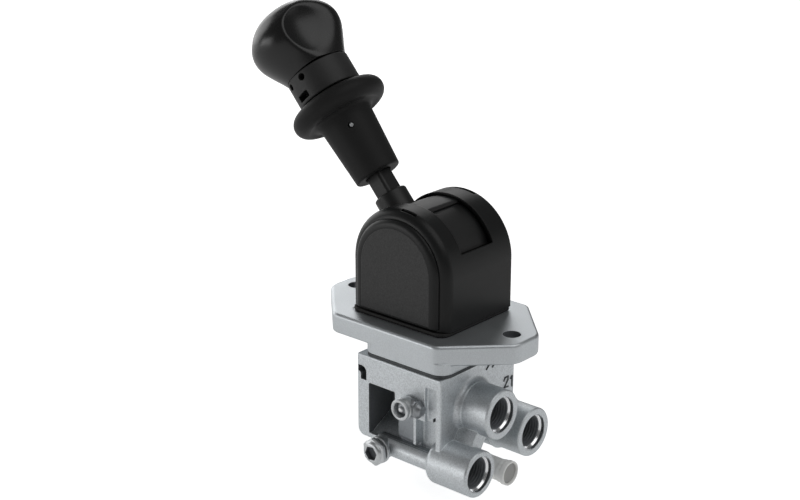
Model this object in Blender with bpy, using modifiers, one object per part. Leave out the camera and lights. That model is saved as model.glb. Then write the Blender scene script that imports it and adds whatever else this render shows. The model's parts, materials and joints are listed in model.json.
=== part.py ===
import math

import bmesh
import bpy
from mathutils import Matrix, Vector

# Parking brake valve: cast valve block under a panel flange, arched cap above it,
# hand lever with a lift ring. All sizes below are in millimetres.
# +X runs along the front face toward the ports, +Y runs back, +Z is up.

MM = 0.001

# Clearances
GAP = 0.3
SLIDE_GAP = 0.4

# Where the mounting point lies on the flange top, measured from the flange centre
MOUNT_X = 37.0

# Mounting flange
FLANGE_HALF_X = 58.4
FLANGE_HALF_Y = 34.9
FLANGE_CHAMFER = 26.8
FLANGE_THICK = 10.0
FLANGE_CORNER = 5.0
FLANGE_EDGE = 0.8
PANEL_HOLE_X = 48.35
PANEL_HOLE_RADIUS = 4.2
SEAT_DEPTH = 0.3
SEAT_TOP = GAP - SEAT_DEPTH
NECK_LEFT = -13.4
NECK_RIGHT = 36.6
NECK_BACK = 22.0
NECK_BOTTOM = -14.2
NECK_CORNER = 7.0

# Body gasket
GASKET_THICK = 1.1

# Valve body
BODY_LEFT = -16.0
BODY_RIGHT = 35.4
BODY_FRONT = -34.9
BODY_BACK = 20.0
BODY_TOP = NECK_BOTTOM - GASKET_THICK - 2.0 * GAP
BODY_BOTTOM = -58.0
BODY_EDGE = 2.4
MAIN_BORE_RADIUS = 10.0
MAIN_BORE_BOTTOM = -50.0
EXHAUST_WAY_RADIUS = 7.0

# Ports
PORT_END = 52.9
PORT_BORE_RADIUS = 7.4
PORT_MOUTH_RADIUS = 8.3
PORT_MOUTH_DEPTH = 1.0
PORT_DEPTH = 14.0
PORT_WAY_RADIUS = 3.0
UPPER_PORT = (-11.7, -35.2, 12.0)
REAR_PORT = (13.1, -53.0, 12.0)
LOWER_PORT = (-27.4, -59.6, 11.2)
REAR_PORT_START = 26.0
LOWER_PORT_START = 25.0

# Cross tube, with the plug that closes its left end from the front
TUBE_Y = -32.0
TUBE_Z = -60.0
TUBE_RADIUS = 5.0
TUBE_BORE_RADIUS = 2.6
PLUG_X = 0.6
PLUG_BOSS_RADIUS = 7.6
PLUG_BOSS_FRONT = -37.5
PLUG_BOSS_BACK = -24.8
PLUG_WASHER_THICK = 1.5
PLUG_WASHER_RADIUS = 8.3
PLUG_HEAD_THICK = 4.4
PLUG_HEAD_RADIUS = 7.3
PLUG_HEAD_TURN = 158.0
PLUG_STEM_RADIUS = 3.2
PLUG_STEM_LENGTH = 6.0

# Test nipple
NIPPLE_X = 17.4
NIPPLE_Z = -32.8
NIPPLE_TIP_Y = -43.0
NIPPLE_BODY_Y = -36.5
NIPPLE_RADIUS = 5.1
NIPPLE_ARM_RADIUS = 4.8
NIPPLE_ARM_END = 26.0
NIPPLE_SPIGOT_RADIUS = 2.6
NIPPLE_SPIGOT_X = 22.0
NIPPLE_SPIGOT_END = -25.5

# Open pockets in the front face, each with its left, right, bottom and top, then its floor
POCKET_BOTTOM = TUBE_Z + TUBE_RADIUS - 0.5
DEEP_POCKET = (-8.7, 7.8, POCKET_BOTTOM, -29.3, -17.0)
MIDDLE_POCKET = (7.0, 19.2, POCKET_BOTTOM, -35.0, -27.0)
RIGHT_POCKET = (20.6, 32.6, POCKET_BOTTOM, -38.7, -26.0)
RELIEF_POCKET = (26.0, 32.8, -45.0, -21.6, BODY_FRONT + 1.3)
NOTCH_POCKET = (-14.4, -10.2, -29.8, -20.4, -29.0)

# Bottom cover and exhaust
COVER_LEFT = -15.8
COVER_RIGHT = 24.0
COVER_FRONT = -24.0
COVER_BACK = 17.0
COVER_THICK = 3.2
EXHAUST_Y = -6.0
EXHAUST_Z = -66.9
EXHAUST_BOSS_RADIUS = 8.2
EXHAUST_BOSS_START = -2.0
EXHAUST_BOSS_END = 28.5
STUB_RADIUS = 5.4
STUB_RING_RADIUS = 6.0
STUB_BORE_RADIUS = 4.6
STUB_START = 14.0
STUB_END = 54.4

# Cap
CAP_RADIUS = 28.5
CAP_HEIGHT = 54.9
CAP_FRONT = -23.7
CAP_BACK = 24.4
CAP_BOTTOM = 2.0
CAP_FRONT_ROUND = 4.8
CAP_BACK_ROUND = 2.0
CAP_WALL = 4.1
CAP_END_WALL = 2.8
WINDOW_HALF_Y = 11.3
WINDOW_ANGLE = 68.6
CHANNEL_HALF_Y = 12.9
CHANNEL_RADIUS = CAP_RADIUS - 1.2
FRONT_COVER_Y = CAP_FRONT - 2.3
FRONT_COVER_RADIUS = CAP_RADIUS - 4.3
FRONT_COVER_ROUND = 2.0

# Lever axis
PIVOT_Z = CAP_HEIGHT - CAP_RADIUS
LEVER_TILT = 41.6
STEM_OFFSET = -2.66
STEM_POLAR = -47.2
LEVER_SWING = 78.0

# Slot covers
COVER_HALF_Y = CHANNEL_HALF_Y - SLIDE_GAP
UPPER_LEAF_OUT = CHANNEL_RADIUS - GAP
UPPER_LEAF_IN = UPPER_LEAF_OUT - 1.1
UPPER_LEAF_ANGLE = 61.4
LOWER_LEAF_OUT = UPPER_LEAF_IN - SLIDE_GAP
LOWER_LEAF_IN = LOWER_LEAF_OUT - 1.0
LOWER_LEAF_ANGLE = 93.5
LOWER_LEAF_RATIO = 0.5
LOWER_SLOT_MARGIN = 21.4
LOWER_SLOT_HALF_Y = 9.0

# Lever stem, measured along the stem from the foot beside the pivot
SHOULDER_TOP = CAP_RADIUS + 7.9
SHOULDER_RADIUS = 8.3
ROD_HALF = 5.0
ROD_CORNER = 2.0
HUB_RADIUS = 8.6
HUB_HALF_Y = 8.0
CAM_BASE = 9.4
CAM_TRAVEL = 6.0
CAM_HALF_Y = 6.0
SHAFT_RADIUS = 4.5

# Lift ring
SLEEVE_BOTTOM = SHOULDER_TOP + 10.9
SLEEVE_BOTTOM_RADIUS = 11.5
SLEEVE_TOP = SLEEVE_BOTTOM + 30.2
SLEEVE_TOP_RADIUS = 13.4
DISC_RADIUS = 23.6
DISC_HALF = 5.3
DISC_MIDDLE = SLEEVE_TOP + 3.4 + DISC_HALF
DISC_POCKET_RADIUS = 17.0
DISC_POCKET_FLOOR = DISC_MIDDLE - 2.6
SLEEVE_GUIDE_RADIUS = 6.8
SLEEVE_BORE_RADIUS = 9.7
SLEEVE_STEP = SLEEVE_BOTTOM + 5.0
LIFT_TRAVEL = 6.0
LIFT_PIN_Z = SLEEVE_TOP - 5.5
LIFT_PIN_TURN = -42.0
LIFT_PIN_RADIUS = 1.0
LIFT_SPRING_RADIUS = SLEEVE_BORE_RADIUS - 1.4
LIFT_SPRING_WIRE = 0.6

# Knob
COLLAR_BOTTOM = DISC_MIDDLE + DISC_HALF + 1.9
COLLAR_TOP = COLLAR_BOTTOM + 13.6
COLLAR_RADIUS = 15.9
COLLAR_BORE_RADIUS = ROD_HALF * math.sqrt(2.0) + SLIDE_GAP
COLLAR_FACE_ANGLE = -94.0
COLLAR_HOLE_RADIUS = 1.75
KNOB_BOTTOM = COLLAR_TOP + GAP
KNOB_RADIUS = 23.5
KNOB_HEIGHT = 35.3
KNOB_LEAN = -4.0
KNOB_PROFILE = (
    (0.0, 1.0), (0.362, 0.98), (0.596, 0.932), (0.762, 0.856), (0.872, 0.771), (0.953, 0.686),
    (0.996, 0.595), (1.0, 0.51), (0.97, 0.408), (0.889, 0.283), (0.774, 0.133), (0.68, 0.0),
    (0.66, -0.045), (0.0, -0.045))
ROD_TOP = KNOB_BOTTOM + 18.7
SPOON_RADIUS = 31.0
SPOON_REACH = 45.0
SPOON_HEIGHT = 13.2
SPOON_TURN = -18.0

# Tappet and valve train
TAPPET_RADIUS = 4.0
TAPPET_HOLE_RADIUS = TAPPET_RADIUS + GAP
TAPPET_HEAD_RADIUS = 6.5
TAPPET_HEAD_THICK = 3.0
TAPPET_FOOT_RADIUS = 8.4
TAPPET_FOOT_TOP = -18.0
TAPPET_FOOT_THICK = 3.0
PISTON_TOP = -38.5
PISTON_BOTTOM = -45.0
PISTON_RADIUS = 9.6
PISTON_NECK_RADIUS = PISTON_RADIUS - 1.8
SEAL_WIRE = 0.7
SEAL_RADIUS = PISTON_NECK_RADIUS + SEAL_WIRE + 0.4
SPRING_RADIUS = 6.6
SPRING_WIRE = 0.85

# Bearing bracket
BRACKET_LEFT = -16.0
BRACKET_RIGHT = CAP_RADIUS - 5.7
BRACKET_HALF_Y = 19.6
BRACKET_FOOT_HALF_Y = 13.4
BRACKET_FOOT_HALF_X = 13.0
BRACKET_BASE = 3.6
CHEEK_HALF_X = 10.0
CHEEK_THICK = 4.0
BUSH_RADIUS = 6.4

# Screws
BODY_SCREW_LEFT = -11.0
BODY_SCREW_RIGHT = BRACKET_RIGHT - 4.8
BODY_SCREW_Y = 9.5
BODY_SCREW_SPOTS = (
    (BODY_SCREW_LEFT, -BODY_SCREW_Y), (BODY_SCREW_RIGHT, -BODY_SCREW_Y),
    (BODY_SCREW_RIGHT, BODY_SCREW_Y), (BODY_SCREW_LEFT, BODY_SCREW_Y))
BODY_SCREW_RADIUS = 2.5
BODY_SCREW_HEAD = 4.2
BODY_SCREW_HEAD_HIGH = 4.5
BODY_SCREW_END = -26.0
CAP_SCREW_X = CAP_RADIUS - 5.9
CAP_SCREW_FRONT = CAP_FRONT + 6.7
CAP_SCREW_BACK = CAP_BACK - 6.4
CAP_SCREW_SPOTS = (
    (-CAP_SCREW_X, CAP_SCREW_FRONT), (CAP_SCREW_X, CAP_SCREW_FRONT),
    (CAP_SCREW_X, CAP_SCREW_BACK), (-CAP_SCREW_X, CAP_SCREW_BACK))
CAP_SCREW_RADIUS = 1.6
CAP_SCREW_HEAD = 3.2
CAP_SCREW_HEAD_Z = -5.0
CAP_SCREW_END = 9.0
COVER_SCREW_INSET = 4.0
COVER_SCREW_SPOTS = (
    (COVER_LEFT + COVER_SCREW_INSET, COVER_FRONT + COVER_SCREW_INSET),
    (COVER_RIGHT - COVER_SCREW_INSET, COVER_FRONT + COVER_SCREW_INSET),
    (COVER_RIGHT - COVER_SCREW_INSET, COVER_BACK - COVER_SCREW_INSET),
    (COVER_LEFT + COVER_SCREW_INSET, COVER_BACK - COVER_SCREW_INSET))
COVER_SCREW_RADIUS = 1.9
COVER_SCREW_HEAD = 3.4
COVER_SCREW_DEPTH = 7.0

for old_object in list(bpy.data.objects):
    bpy.data.objects.remove(old_object, do_unlink=True)

parts = bpy.data.collections.new("parking_brake_valve")
bpy.context.scene.collection.children.link(parts)
shapers = bpy.data.collections.new("shapers")
bpy.context.scene.collection.children.link(shapers)


def material(name, color, metallic, roughness):
    slot = bpy.data.materials.new(name)
    slot.use_nodes = True
    shader = slot.node_tree.nodes["Principled BSDF"]
    shader.inputs["Base Color"].default_value = (color[0], color[1], color[2], 1.0)
    shader.inputs["Metallic"].default_value = metallic
    shader.inputs["Roughness"].default_value = roughness
    slot.diffuse_color = (color[0], color[1], color[2], 1.0)
    return slot


CAST = material("cast_aluminium", (0.50, 0.52, 0.53), 0.6, 0.5)
BLASTED = material("blasted_aluminium", (0.54, 0.56, 0.57), 0.6, 0.5)
PRESSED = material("bracket_steel", (0.36, 0.37, 0.38), 0.9, 0.4)
ZINC = material("zinc_steel", (0.62, 0.63, 0.62), 0.9, 0.35)
STEEL = material("ground_steel", (0.55, 0.56, 0.57), 1.0, 0.3)
BRASS = material("brass", (0.62, 0.47, 0.22), 1.0, 0.35)
CAP_BLACK = material("cap_black", (0.035, 0.035, 0.036), 0.0, 0.5)
PANEL_BLACK = material("cover_black", (0.045, 0.045, 0.046), 0.0, 0.6)
LEAF_BLACK = material("leaf_black", (0.030, 0.030, 0.031), 0.0, 0.45)
KNOB_BLACK = material("knob_black", (0.030, 0.030, 0.030), 0.0, 0.25)
COLLAR_BLACK = material("collar_black", (0.028, 0.028, 0.028), 0.0, 0.45)
RING_BLACK = material("ring_black", (0.026, 0.026, 0.026), 0.0, 0.5)
ROD_BLACK = material("rod_black", (0.030, 0.031, 0.032), 0.5, 0.4)
RUBBER = material("rubber_black", (0.020, 0.020, 0.020), 0.0, 0.75)
STUB_GREY = material("stub_plastic", (0.62, 0.61, 0.58), 0.0, 0.5)
INSERT_WHITE = material("insert_plastic", (0.70, 0.70, 0.68), 0.0, 0.5)


def point(x, y, z):
    return Vector((x * MM, y * MM, z * MM))


def link(name, mesh, group, slot, location, rotation, parent):
    item = bpy.data.objects.new(name, mesh)
    group.objects.link(item)
    if slot is not None:
        mesh.materials.append(slot)
    item.location = location
    item.rotation_euler = rotation
    item.parent = parent
    if group == shapers:
        item.hide_render = True
        item.display_type = "WIRE"
    return item


def mesh_from(builder, name):
    work = bmesh.new()
    builder(work)
    bmesh.ops.recalc_face_normals(work, faces=work.faces)
    mesh = bpy.data.meshes.new(name)
    work.to_mesh(mesh)
    work.free()
    return mesh


def block(name, low, high, group=parts, slot=None, parent=None):
    size = [(high[i] - low[i]) * MM for i in range(3)]
    middle = [(high[i] + low[i]) * 0.5 for i in range(3)]

    def build(work):
        bmesh.ops.create_cube(work, size=1.0)
        bmesh.ops.scale(work, vec=size, verts=work.verts)

    return link(name, mesh_from(build, name), group, slot, point(*middle), (0, 0, 0), parent)


AXIS_TURN = {
    "X": (0.0, math.radians(90.0), 0.0),
    "Y": (math.radians(-90.0), 0.0, 0.0),
    "Z": (0.0, 0.0, 0.0),
}


def rod(name, axis, start, end, across, radius, segments, group=parts, slot=None,
        parent=None, radius_end=None):
    """A round bar along one axis; across holds the two other coordinates in order."""
    length = end - start
    middle = (start + end) * 0.5
    last = radius if radius_end is None else radius_end

    def build(work):
        bmesh.ops.create_cone(
            work, cap_ends=True, cap_tris=False, segments=segments,
            radius1=radius * MM, radius2=last * MM, depth=length * MM)

    spots = {
        "X": (middle, across[0], across[1]),
        "Y": (across[0], middle, across[1]),
        "Z": (across[0], across[1], middle),
    }
    return link(name, mesh_from(build, name), group, slot, point(*spots[axis]),
                AXIS_TURN[axis], parent)


def turned(name, profile, segments, group=parts, slot=None, location=(0, 0, 0),
           rotation=(0, 0, 0), parent=None, closed=False):
    """A turned piece from a profile of (radius, height) pairs, top to bottom."""
    mesh = bpy.data.meshes.new(name)
    spots = [point(radius, 0.0, height) for radius, height in profile]
    lines = [(i, i + 1) for i in range(len(spots) - 1)]
    if closed:
        lines.append((len(spots) - 1, 0))
    mesh.from_pydata(spots, lines, [])
    item = link(name, mesh, group, slot, location, rotation, parent)
    screw = item.modifiers.new("turn", "SCREW")
    screw.axis = "Z"
    screw.angle = math.radians(360.0)
    screw.steps = segments
    screw.render_steps = segments
    screw.use_merge_vertices = True
    screw.merge_threshold = 0.00001
    return item


def prism(name, outline, low, high, group=parts, slot=None, parent=None, upright=True):
    """A flat outline given thickness; upright outlines are drawn in X and Z."""
    curve = bpy.data.curves.new(name + "_outline", "CURVE")
    curve.dimensions = "2D"
    curve.fill_mode = "BOTH"
    curve.extrude = (high - low) * 0.5 * MM
    line = curve.splines.new("POLY")
    line.points.add(len(outline) - 1)
    for spot, (first, second) in zip(line.points, outline):
        spot.co = (first * MM, second * MM, 0.0, 1.0)
    line.use_cyclic_u = True
    sketch = bpy.data.objects.new(name + "_sketch", curve)
    mesh = bpy.data.meshes.new_from_object(sketch)
    bpy.data.objects.remove(sketch)
    work = bmesh.new()
    work.from_mesh(mesh)
    bmesh.ops.remove_doubles(work, verts=work.verts, dist=0.000001)
    bmesh.ops.dissolve_limit(
        work, angle_limit=math.radians(0.5), verts=work.verts, edges=work.edges)
    bmesh.ops.recalc_face_normals(work, faces=work.faces)
    work.to_mesh(mesh)
    work.free()
    middle = (low + high) * 0.5
    if upright:
        return link(name, mesh, group, slot, point(0, middle, 0),
                    (math.radians(90.0), 0, 0), parent)
    return link(name, mesh, group, slot, point(0, 0, middle), (0, 0, 0), parent)


def soften(item, width, segments, angle=40.0):
    bevel = item.modifiers.new("soften", "BEVEL")
    bevel.width = width * MM
    bevel.segments = segments
    bevel.limit_method = "ANGLE"
    bevel.angle_limit = math.radians(angle)
    bevel.use_clamp_overlap = True
    return bevel


def combine(item, other, operation):
    boolean = item.modifiers.new(other.name, "BOOLEAN")
    boolean.operation = operation
    boolean.solver = "EXACT"
    boolean.object = other


def cut(item, *others):
    for other in others:
        combine(item, other, "DIFFERENCE")


def join(item, *others):
    for other in others:
        combine(item, other, "UNION")


def smooth(item, angle=35.0):
    item.data.shade_smooth()
    item.data.set_sharp_from_angle(angle=math.radians(angle))


def arc(centre, radius, start, end, steps):
    """Points on an arc; angles are in degrees from the first axis."""
    spots = []
    for i in range(steps + 1):
        turn = math.radians(start + (end - start) * i / steps)
        spots.append((centre[0] + radius * math.cos(turn), centre[1] + radius * math.sin(turn)))
    return spots


def arch_outline(radius, bottom, steps):
    return [(-radius, bottom), (radius, bottom)] + arc((0.0, PIVOT_Z), radius, 0.0, 180.0, steps)


def sector_outline(inner, outer, left, right, steps):
    """A ring sector about the pivot; angles run from straight up toward +X."""
    top = arc((0.0, PIVOT_Z), outer, 90.0 - left, 90.0 - right, steps)
    low = arc((0.0, PIVOT_Z), inner, 90.0 - right, 90.0 - left, steps)
    return top + low


def rounded_outline(corners, radius, steps):
    """A closed outline with each corner rounded."""
    spots = []
    count = len(corners)
    for i in range(count):
        here = Vector(corners[i])
        before = (Vector(corners[i - 1]) - here).normalized()
        after = (Vector(corners[(i + 1) % count]) - here).normalized()
        half = before.angle(after) * 0.5
        reach = radius / math.tan(half)
        start = here + before * reach
        end = here + after * reach
        centre = here + (before + after).normalized() * (radius / math.sin(half))
        first = start - centre
        last = end - centre
        total = first.angle_signed(last)
        for k in range(steps + 1):
            turned_spot = first.copy()
            turned_spot.rotate(Matrix.Rotation(-total * k / steps, 2))
            spots.append(tuple(centre + turned_spot))
    return spots


root = bpy.data.objects.new("valve_frame", None)
parts.objects.link(root)
root.location = point(-MOUNT_X, 0, 0)

lever_frame = bpy.data.objects.new("lever_frame", None)
parts.objects.link(lever_frame)
lever_frame.parent = root
lever_frame.location = point(0, 0, PIVOT_Z)
lever_frame.rotation_euler = (0, math.radians(-LEVER_TILT), 0)


def make_flange():
    edge = FLANGE_HALF_X - FLANGE_CHAMFER
    side = FLANGE_HALF_Y - FLANGE_CHAMFER
    corners = [
        (-edge, -FLANGE_HALF_Y), (edge, -FLANGE_HALF_Y),
        (FLANGE_HALF_X, -side), (FLANGE_HALF_X, side),
        (edge, FLANGE_HALF_Y), (-edge, FLANGE_HALF_Y),
        (-FLANGE_HALF_X, side), (-FLANGE_HALF_X, -side)]
    outline = rounded_outline(corners, FLANGE_CORNER, 3)
    flange = prism("mounting_flange", outline, -FLANGE_THICK, 0.0, slot=BLASTED,
                   parent=root, upright=False)
    soften(flange, FLANGE_EDGE, 1, 60.0)
    neck_corners = [
        (NECK_LEFT, -FLANGE_HALF_Y + 0.05), (NECK_RIGHT, -FLANGE_HALF_Y + 0.05),
        (NECK_RIGHT, NECK_BACK), (NECK_LEFT, NECK_BACK)]
    neck = prism("neck_solid", rounded_outline(neck_corners, NECK_CORNER, 3),
                 NECK_BOTTOM, -FLANGE_THICK + 1.5, group=shapers, parent=root, upright=False)
    join(flange, neck)
    for side_sign in (-1, 1):
        cut(flange, rod(f"panel_hole_{side_sign + 2}", "Z", -FLANGE_THICK - 1, 1,
                        (side_sign * PANEL_HOLE_X, 0), PANEL_HOLE_RADIUS, 28,
                        group=shapers, parent=root))
    # The cap stands in a shallow seat, so the flange top round it is one clear face.
    seat_x = CAP_RADIUS + SLIDE_GAP
    seat = [(-seat_x, CAP_FRONT - 2.0), (seat_x, CAP_FRONT - 2.0),
            (seat_x, CAP_BACK + SLIDE_GAP), (-seat_x, CAP_BACK + SLIDE_GAP)]
    cut(flange, prism("cap_seat", rounded_outline(seat, CAP_BACK_ROUND + SLIDE_GAP, 3),
                      -SEAT_DEPTH, 2.0, group=shapers, parent=root, upright=False))
    cut(flange, rod("tappet_way", "Z", NECK_BOTTOM - 1, 1, (0, 0), TAPPET_HOLE_RADIUS, 14,
                    group=shapers, parent=root))
    for number, spot in enumerate(BODY_SCREW_SPOTS, 1):
        cut(flange, rod(f"flange_screw_way_{number}", "Z", NECK_BOTTOM - 1, 1, spot,
                        BODY_SCREW_RADIUS + GAP, 8, group=shapers, parent=root))
    for number, spot in enumerate(CAP_SCREW_SPOTS, 1):
        cut(flange,
            rod(f"cap_screw_way_{number}", "Z", NECK_BOTTOM - 1, 1, spot,
                CAP_SCREW_RADIUS + GAP, 8, group=shapers, parent=root),
            rod(f"cap_screw_seat_{number}", "Z", NECK_BOTTOM - 1, CAP_SCREW_HEAD_Z, spot,
                CAP_SCREW_HEAD + GAP, 9, group=shapers, parent=root))
    smooth(flange)


def make_body_gasket():
    top = NECK_BOTTOM - GAP
    corners = [
        (NECK_LEFT + 0.6, -FLANGE_HALF_Y + 0.9), (NECK_RIGHT - 0.6, -FLANGE_HALF_Y + 0.9),
        (NECK_RIGHT - 0.6, NECK_BACK - 3.0), (NECK_LEFT + 0.6, NECK_BACK - 3.0)]
    gasket = prism("body_gasket", rounded_outline(corners, NECK_CORNER, 3), top - GASKET_THICK,
                   top, slot=RUBBER, parent=root, upright=False)
    cut(gasket, rod("gasket_centre", "Z", top - 3, top + 2, (0, 0), MAIN_BORE_RADIUS - 1.5, 14,
                    group=shapers, parent=root))
    for number, spot in enumerate(BODY_SCREW_SPOTS, 1):
        cut(gasket, rod(f"gasket_screw_way_{number}", "Z", top - 3, top + 2, spot,
                        BODY_SCREW_RADIUS + GAP, 8, group=shapers, parent=root))
    smooth(gasket)


def port_boss(name, port, start, flare):
    """The solids of one boss along X: the barrel with a rounded rim, then its foot."""
    y, z, radius = port
    barrel_start = start + (0.0 if flare > 0 else 3.0)
    barrel = rod(name, "X", barrel_start, PORT_END, (y, z), radius, 30, group=shapers,
                 parent=root)
    soften(barrel, 0.6, 1)
    if flare > 0:
        foot = rod(name + "_foot", "X", start, BODY_RIGHT + flare * 0.4, (y, z),
                   radius + flare, 22, group=shapers, parent=root)
        soften(foot, flare * 0.8, 2)
        return barrel, foot
    nose = rod(name + "_nose", "X", start, barrel_start + 1.0, (y, z), radius - 2.4, 26,
               group=shapers, parent=root, radius_end=radius + 0.1)
    return barrel, nose


def port_bore(name, port, way_end):
    """The tools of one port: the shallow mouth, the bore and the narrow way behind it."""
    y, z, radius = port
    floor = PORT_END - PORT_DEPTH
    mouth = rod(name + "_mouth", "X", PORT_END - PORT_MOUTH_DEPTH, PORT_END + 1.4, (y, z),
                PORT_MOUTH_RADIUS, 24, group=shapers, parent=root)
    bore = rod(name, "X", floor, PORT_END + 1.0, (y, z), PORT_BORE_RADIUS, 24, group=shapers,
               parent=root)
    way = rod(name + "_way", "X", way_end, floor + 1.0, (y, z), PORT_WAY_RADIUS, 8,
              group=shapers, parent=root)
    return mouth, bore, way


def make_body():
    body = block("valve_body", (BODY_LEFT, BODY_FRONT, BODY_BOTTOM),
                 (BODY_RIGHT, BODY_BACK, BODY_TOP), slot=CAST, parent=root)
    soften(body, BODY_EDGE, 2)
    make_pockets(body)
    join(body,
         *port_boss("upper_boss", UPPER_PORT, 20.0, 3.0),
         *port_boss("rear_boss", REAR_PORT, REAR_PORT_START, 2.0),
         *port_boss("lower_boss", LOWER_PORT, LOWER_PORT_START, 0.0),
         rod("plug_boss", "Y", PLUG_BOSS_FRONT, PLUG_BOSS_BACK, (PLUG_X, TUBE_Z),
             PLUG_BOSS_RADIUS, 24, group=shapers, parent=root),
         rod("cross_tube", "X", PLUG_X, LOWER_PORT_START + 6, (TUBE_Y, TUBE_Z), TUBE_RADIUS,
             20, group=shapers, parent=root))
    web = block("port_web", (28.0, -4.0, -9.0), (46.0, 4.0, 9.0), group=shapers, parent=root)
    web.location = point(37.0, (UPPER_PORT[0] + LOWER_PORT[0]) * 0.5,
                         (UPPER_PORT[1] + LOWER_PORT[1]) * 0.5)
    web.rotation_euler = (math.atan2(LOWER_PORT[0] - UPPER_PORT[0],
                                     UPPER_PORT[1] - LOWER_PORT[1]), 0, 0)
    join(body, web)
    cut(body,
        rod("main_bore", "Z", MAIN_BORE_BOTTOM, BODY_TOP + 2, (0, 0), MAIN_BORE_RADIUS, 24,
            group=shapers, parent=root),
        rod("exhaust_way", "Z", BODY_BOTTOM - 2, MAIN_BORE_BOTTOM + 1, (0, 0),
            EXHAUST_WAY_RADIUS, 14, group=shapers, parent=root),
        *port_bore("upper_bore", UPPER_PORT, 5.0),
        *port_bore("rear_bore", REAR_PORT, 24.0),
        *port_bore("lower_bore", LOWER_PORT, LOWER_PORT_START + 4.0),
        rod("tube_bore", "X", PLUG_X - 1.0, PORT_END - PORT_DEPTH - 0.8,
            (TUBE_Y + 0.6, TUBE_Z - 0.23), TUBE_BORE_RADIUS, 10, group=shapers, parent=root),
        rod("plug_bore", "Y", PLUG_BOSS_FRONT - 2, TUBE_Y + 2.0, (PLUG_X, TUBE_Z),
            PLUG_STEM_RADIUS + GAP, 16, group=shapers, parent=root))
    make_nipple_seat(body)
    for number, (x, y) in enumerate(BODY_SCREW_SPOTS, 1):
        cut(body, rod(f"body_screw_hole_{number}", "Z", BODY_SCREW_END - 1.5, BODY_TOP + 2,
                      (x, y), BODY_SCREW_RADIUS + GAP, 8, group=shapers, parent=root))
    for number, (x, y) in enumerate(COVER_SCREW_SPOTS, 1):
        cut(body, rod(f"cover_screw_hole_{number}", "Z", BODY_BOTTOM - 2,
                      BODY_BOTTOM + COVER_SCREW_DEPTH + 1.0, (x, y),
                      COVER_SCREW_RADIUS + GAP, 8, group=shapers, parent=root))
    smooth(body)


def make_pockets(body):
    """The open pockets in the front face; the cross tube crosses their lower edge."""
    pockets = (("deep_pocket", DEEP_POCKET, 1.0), ("middle_pocket", MIDDLE_POCKET, 1.0),
               ("right_pocket", RIGHT_POCKET, 0.8), ("right_relief", RELIEF_POCKET, 0.9),
               ("clip_notch", NOTCH_POCKET, 1.4))
    for number, (name, (left, right, bottom, top, floor), edge) in enumerate(pockets):
        front = BODY_FRONT - 3.0 - 0.4 * number
        pocket = block(name, (left, front, bottom), (right, floor, top), group=shapers,
                       parent=root)
        soften(pocket, edge, 1)
        cut(body, pocket)


def make_nipple_seat(body):
    """The trough and hole that hold the test nipple, and the vent hole beside it."""
    trough = rod("nipple_trough", "X", NIPPLE_X - 4.4 - 2.0 * GAP, NIPPLE_ARM_END + GAP,
                 (NIPPLE_BODY_Y, NIPPLE_Z), NIPPLE_ARM_RADIUS + SLIDE_GAP, 20, group=shapers,
                 parent=root)
    spigot = rod("nipple_hole", "Y", NIPPLE_BODY_Y, NIPPLE_SPIGOT_END + 1.0,
                 (NIPPLE_SPIGOT_X, NIPPLE_Z), NIPPLE_SPIGOT_RADIUS + GAP, 12,
                 group=shapers, parent=root)
    vent = rod("vent_hole", "Y", BODY_FRONT - 3.0, -27.0, (31.4, -37.0), 1.1, 8,
               group=shapers, parent=root)
    cut(body, trough, spigot, vent)


def make_nipple():
    arm = rod("test_nipple", "X", NIPPLE_X - 4.4, NIPPLE_ARM_END, (NIPPLE_BODY_Y, NIPPLE_Z),
              NIPPLE_ARM_RADIUS, 18, slot=ZINC, parent=root)
    soften(arm, 0.5, 1)
    tip = turned("nipple_tip", [
        (0.0, NIPPLE_BODY_Y - NIPPLE_TIP_Y),
        (NIPPLE_RADIUS - 0.5, NIPPLE_BODY_Y - NIPPLE_TIP_Y),
        (NIPPLE_RADIUS, NIPPLE_BODY_Y - NIPPLE_TIP_Y - 0.5),
        (NIPPLE_RADIUS, 3.4), (NIPPLE_RADIUS - 0.8, 2.9), (NIPPLE_RADIUS - 0.8, 2.0),
        (NIPPLE_RADIUS - 0.8, 0.0), (0.0, 0.0)], 22, group=shapers,
        location=point(NIPPLE_X, NIPPLE_BODY_Y, NIPPLE_Z), rotation=(math.radians(90.0), 0, 0),
        parent=root)
    spigot = rod("nipple_spigot", "Y", NIPPLE_BODY_Y, NIPPLE_SPIGOT_END,
                 (NIPPLE_SPIGOT_X, NIPPLE_Z), NIPPLE_SPIGOT_RADIUS, 12, group=shapers,
                 parent=root)
    bore = rod("nipple_bore", "Y", NIPPLE_TIP_Y - 1, NIPPLE_TIP_Y + 4.5, (NIPPLE_X, NIPPLE_Z),
               3.4, 18, group=shapers, parent=root)
    join(arm, tip, spigot)
    cut(arm, bore)
    smooth(arm)
    core = turned("nipple_core", [
        (0.0, 3.6), (0.9, 3.6), (1.4, 3.1), (1.4, 1.0), (2.6, 0.6), (2.6, 0.0), (0.0, 0.0)],
        10, slot=STEEL, location=point(NIPPLE_X, NIPPLE_TIP_Y + 4.5 - GAP, NIPPLE_Z),
        rotation=(math.radians(90.0), 0, 0), parent=root)
    smooth(core)


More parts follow.
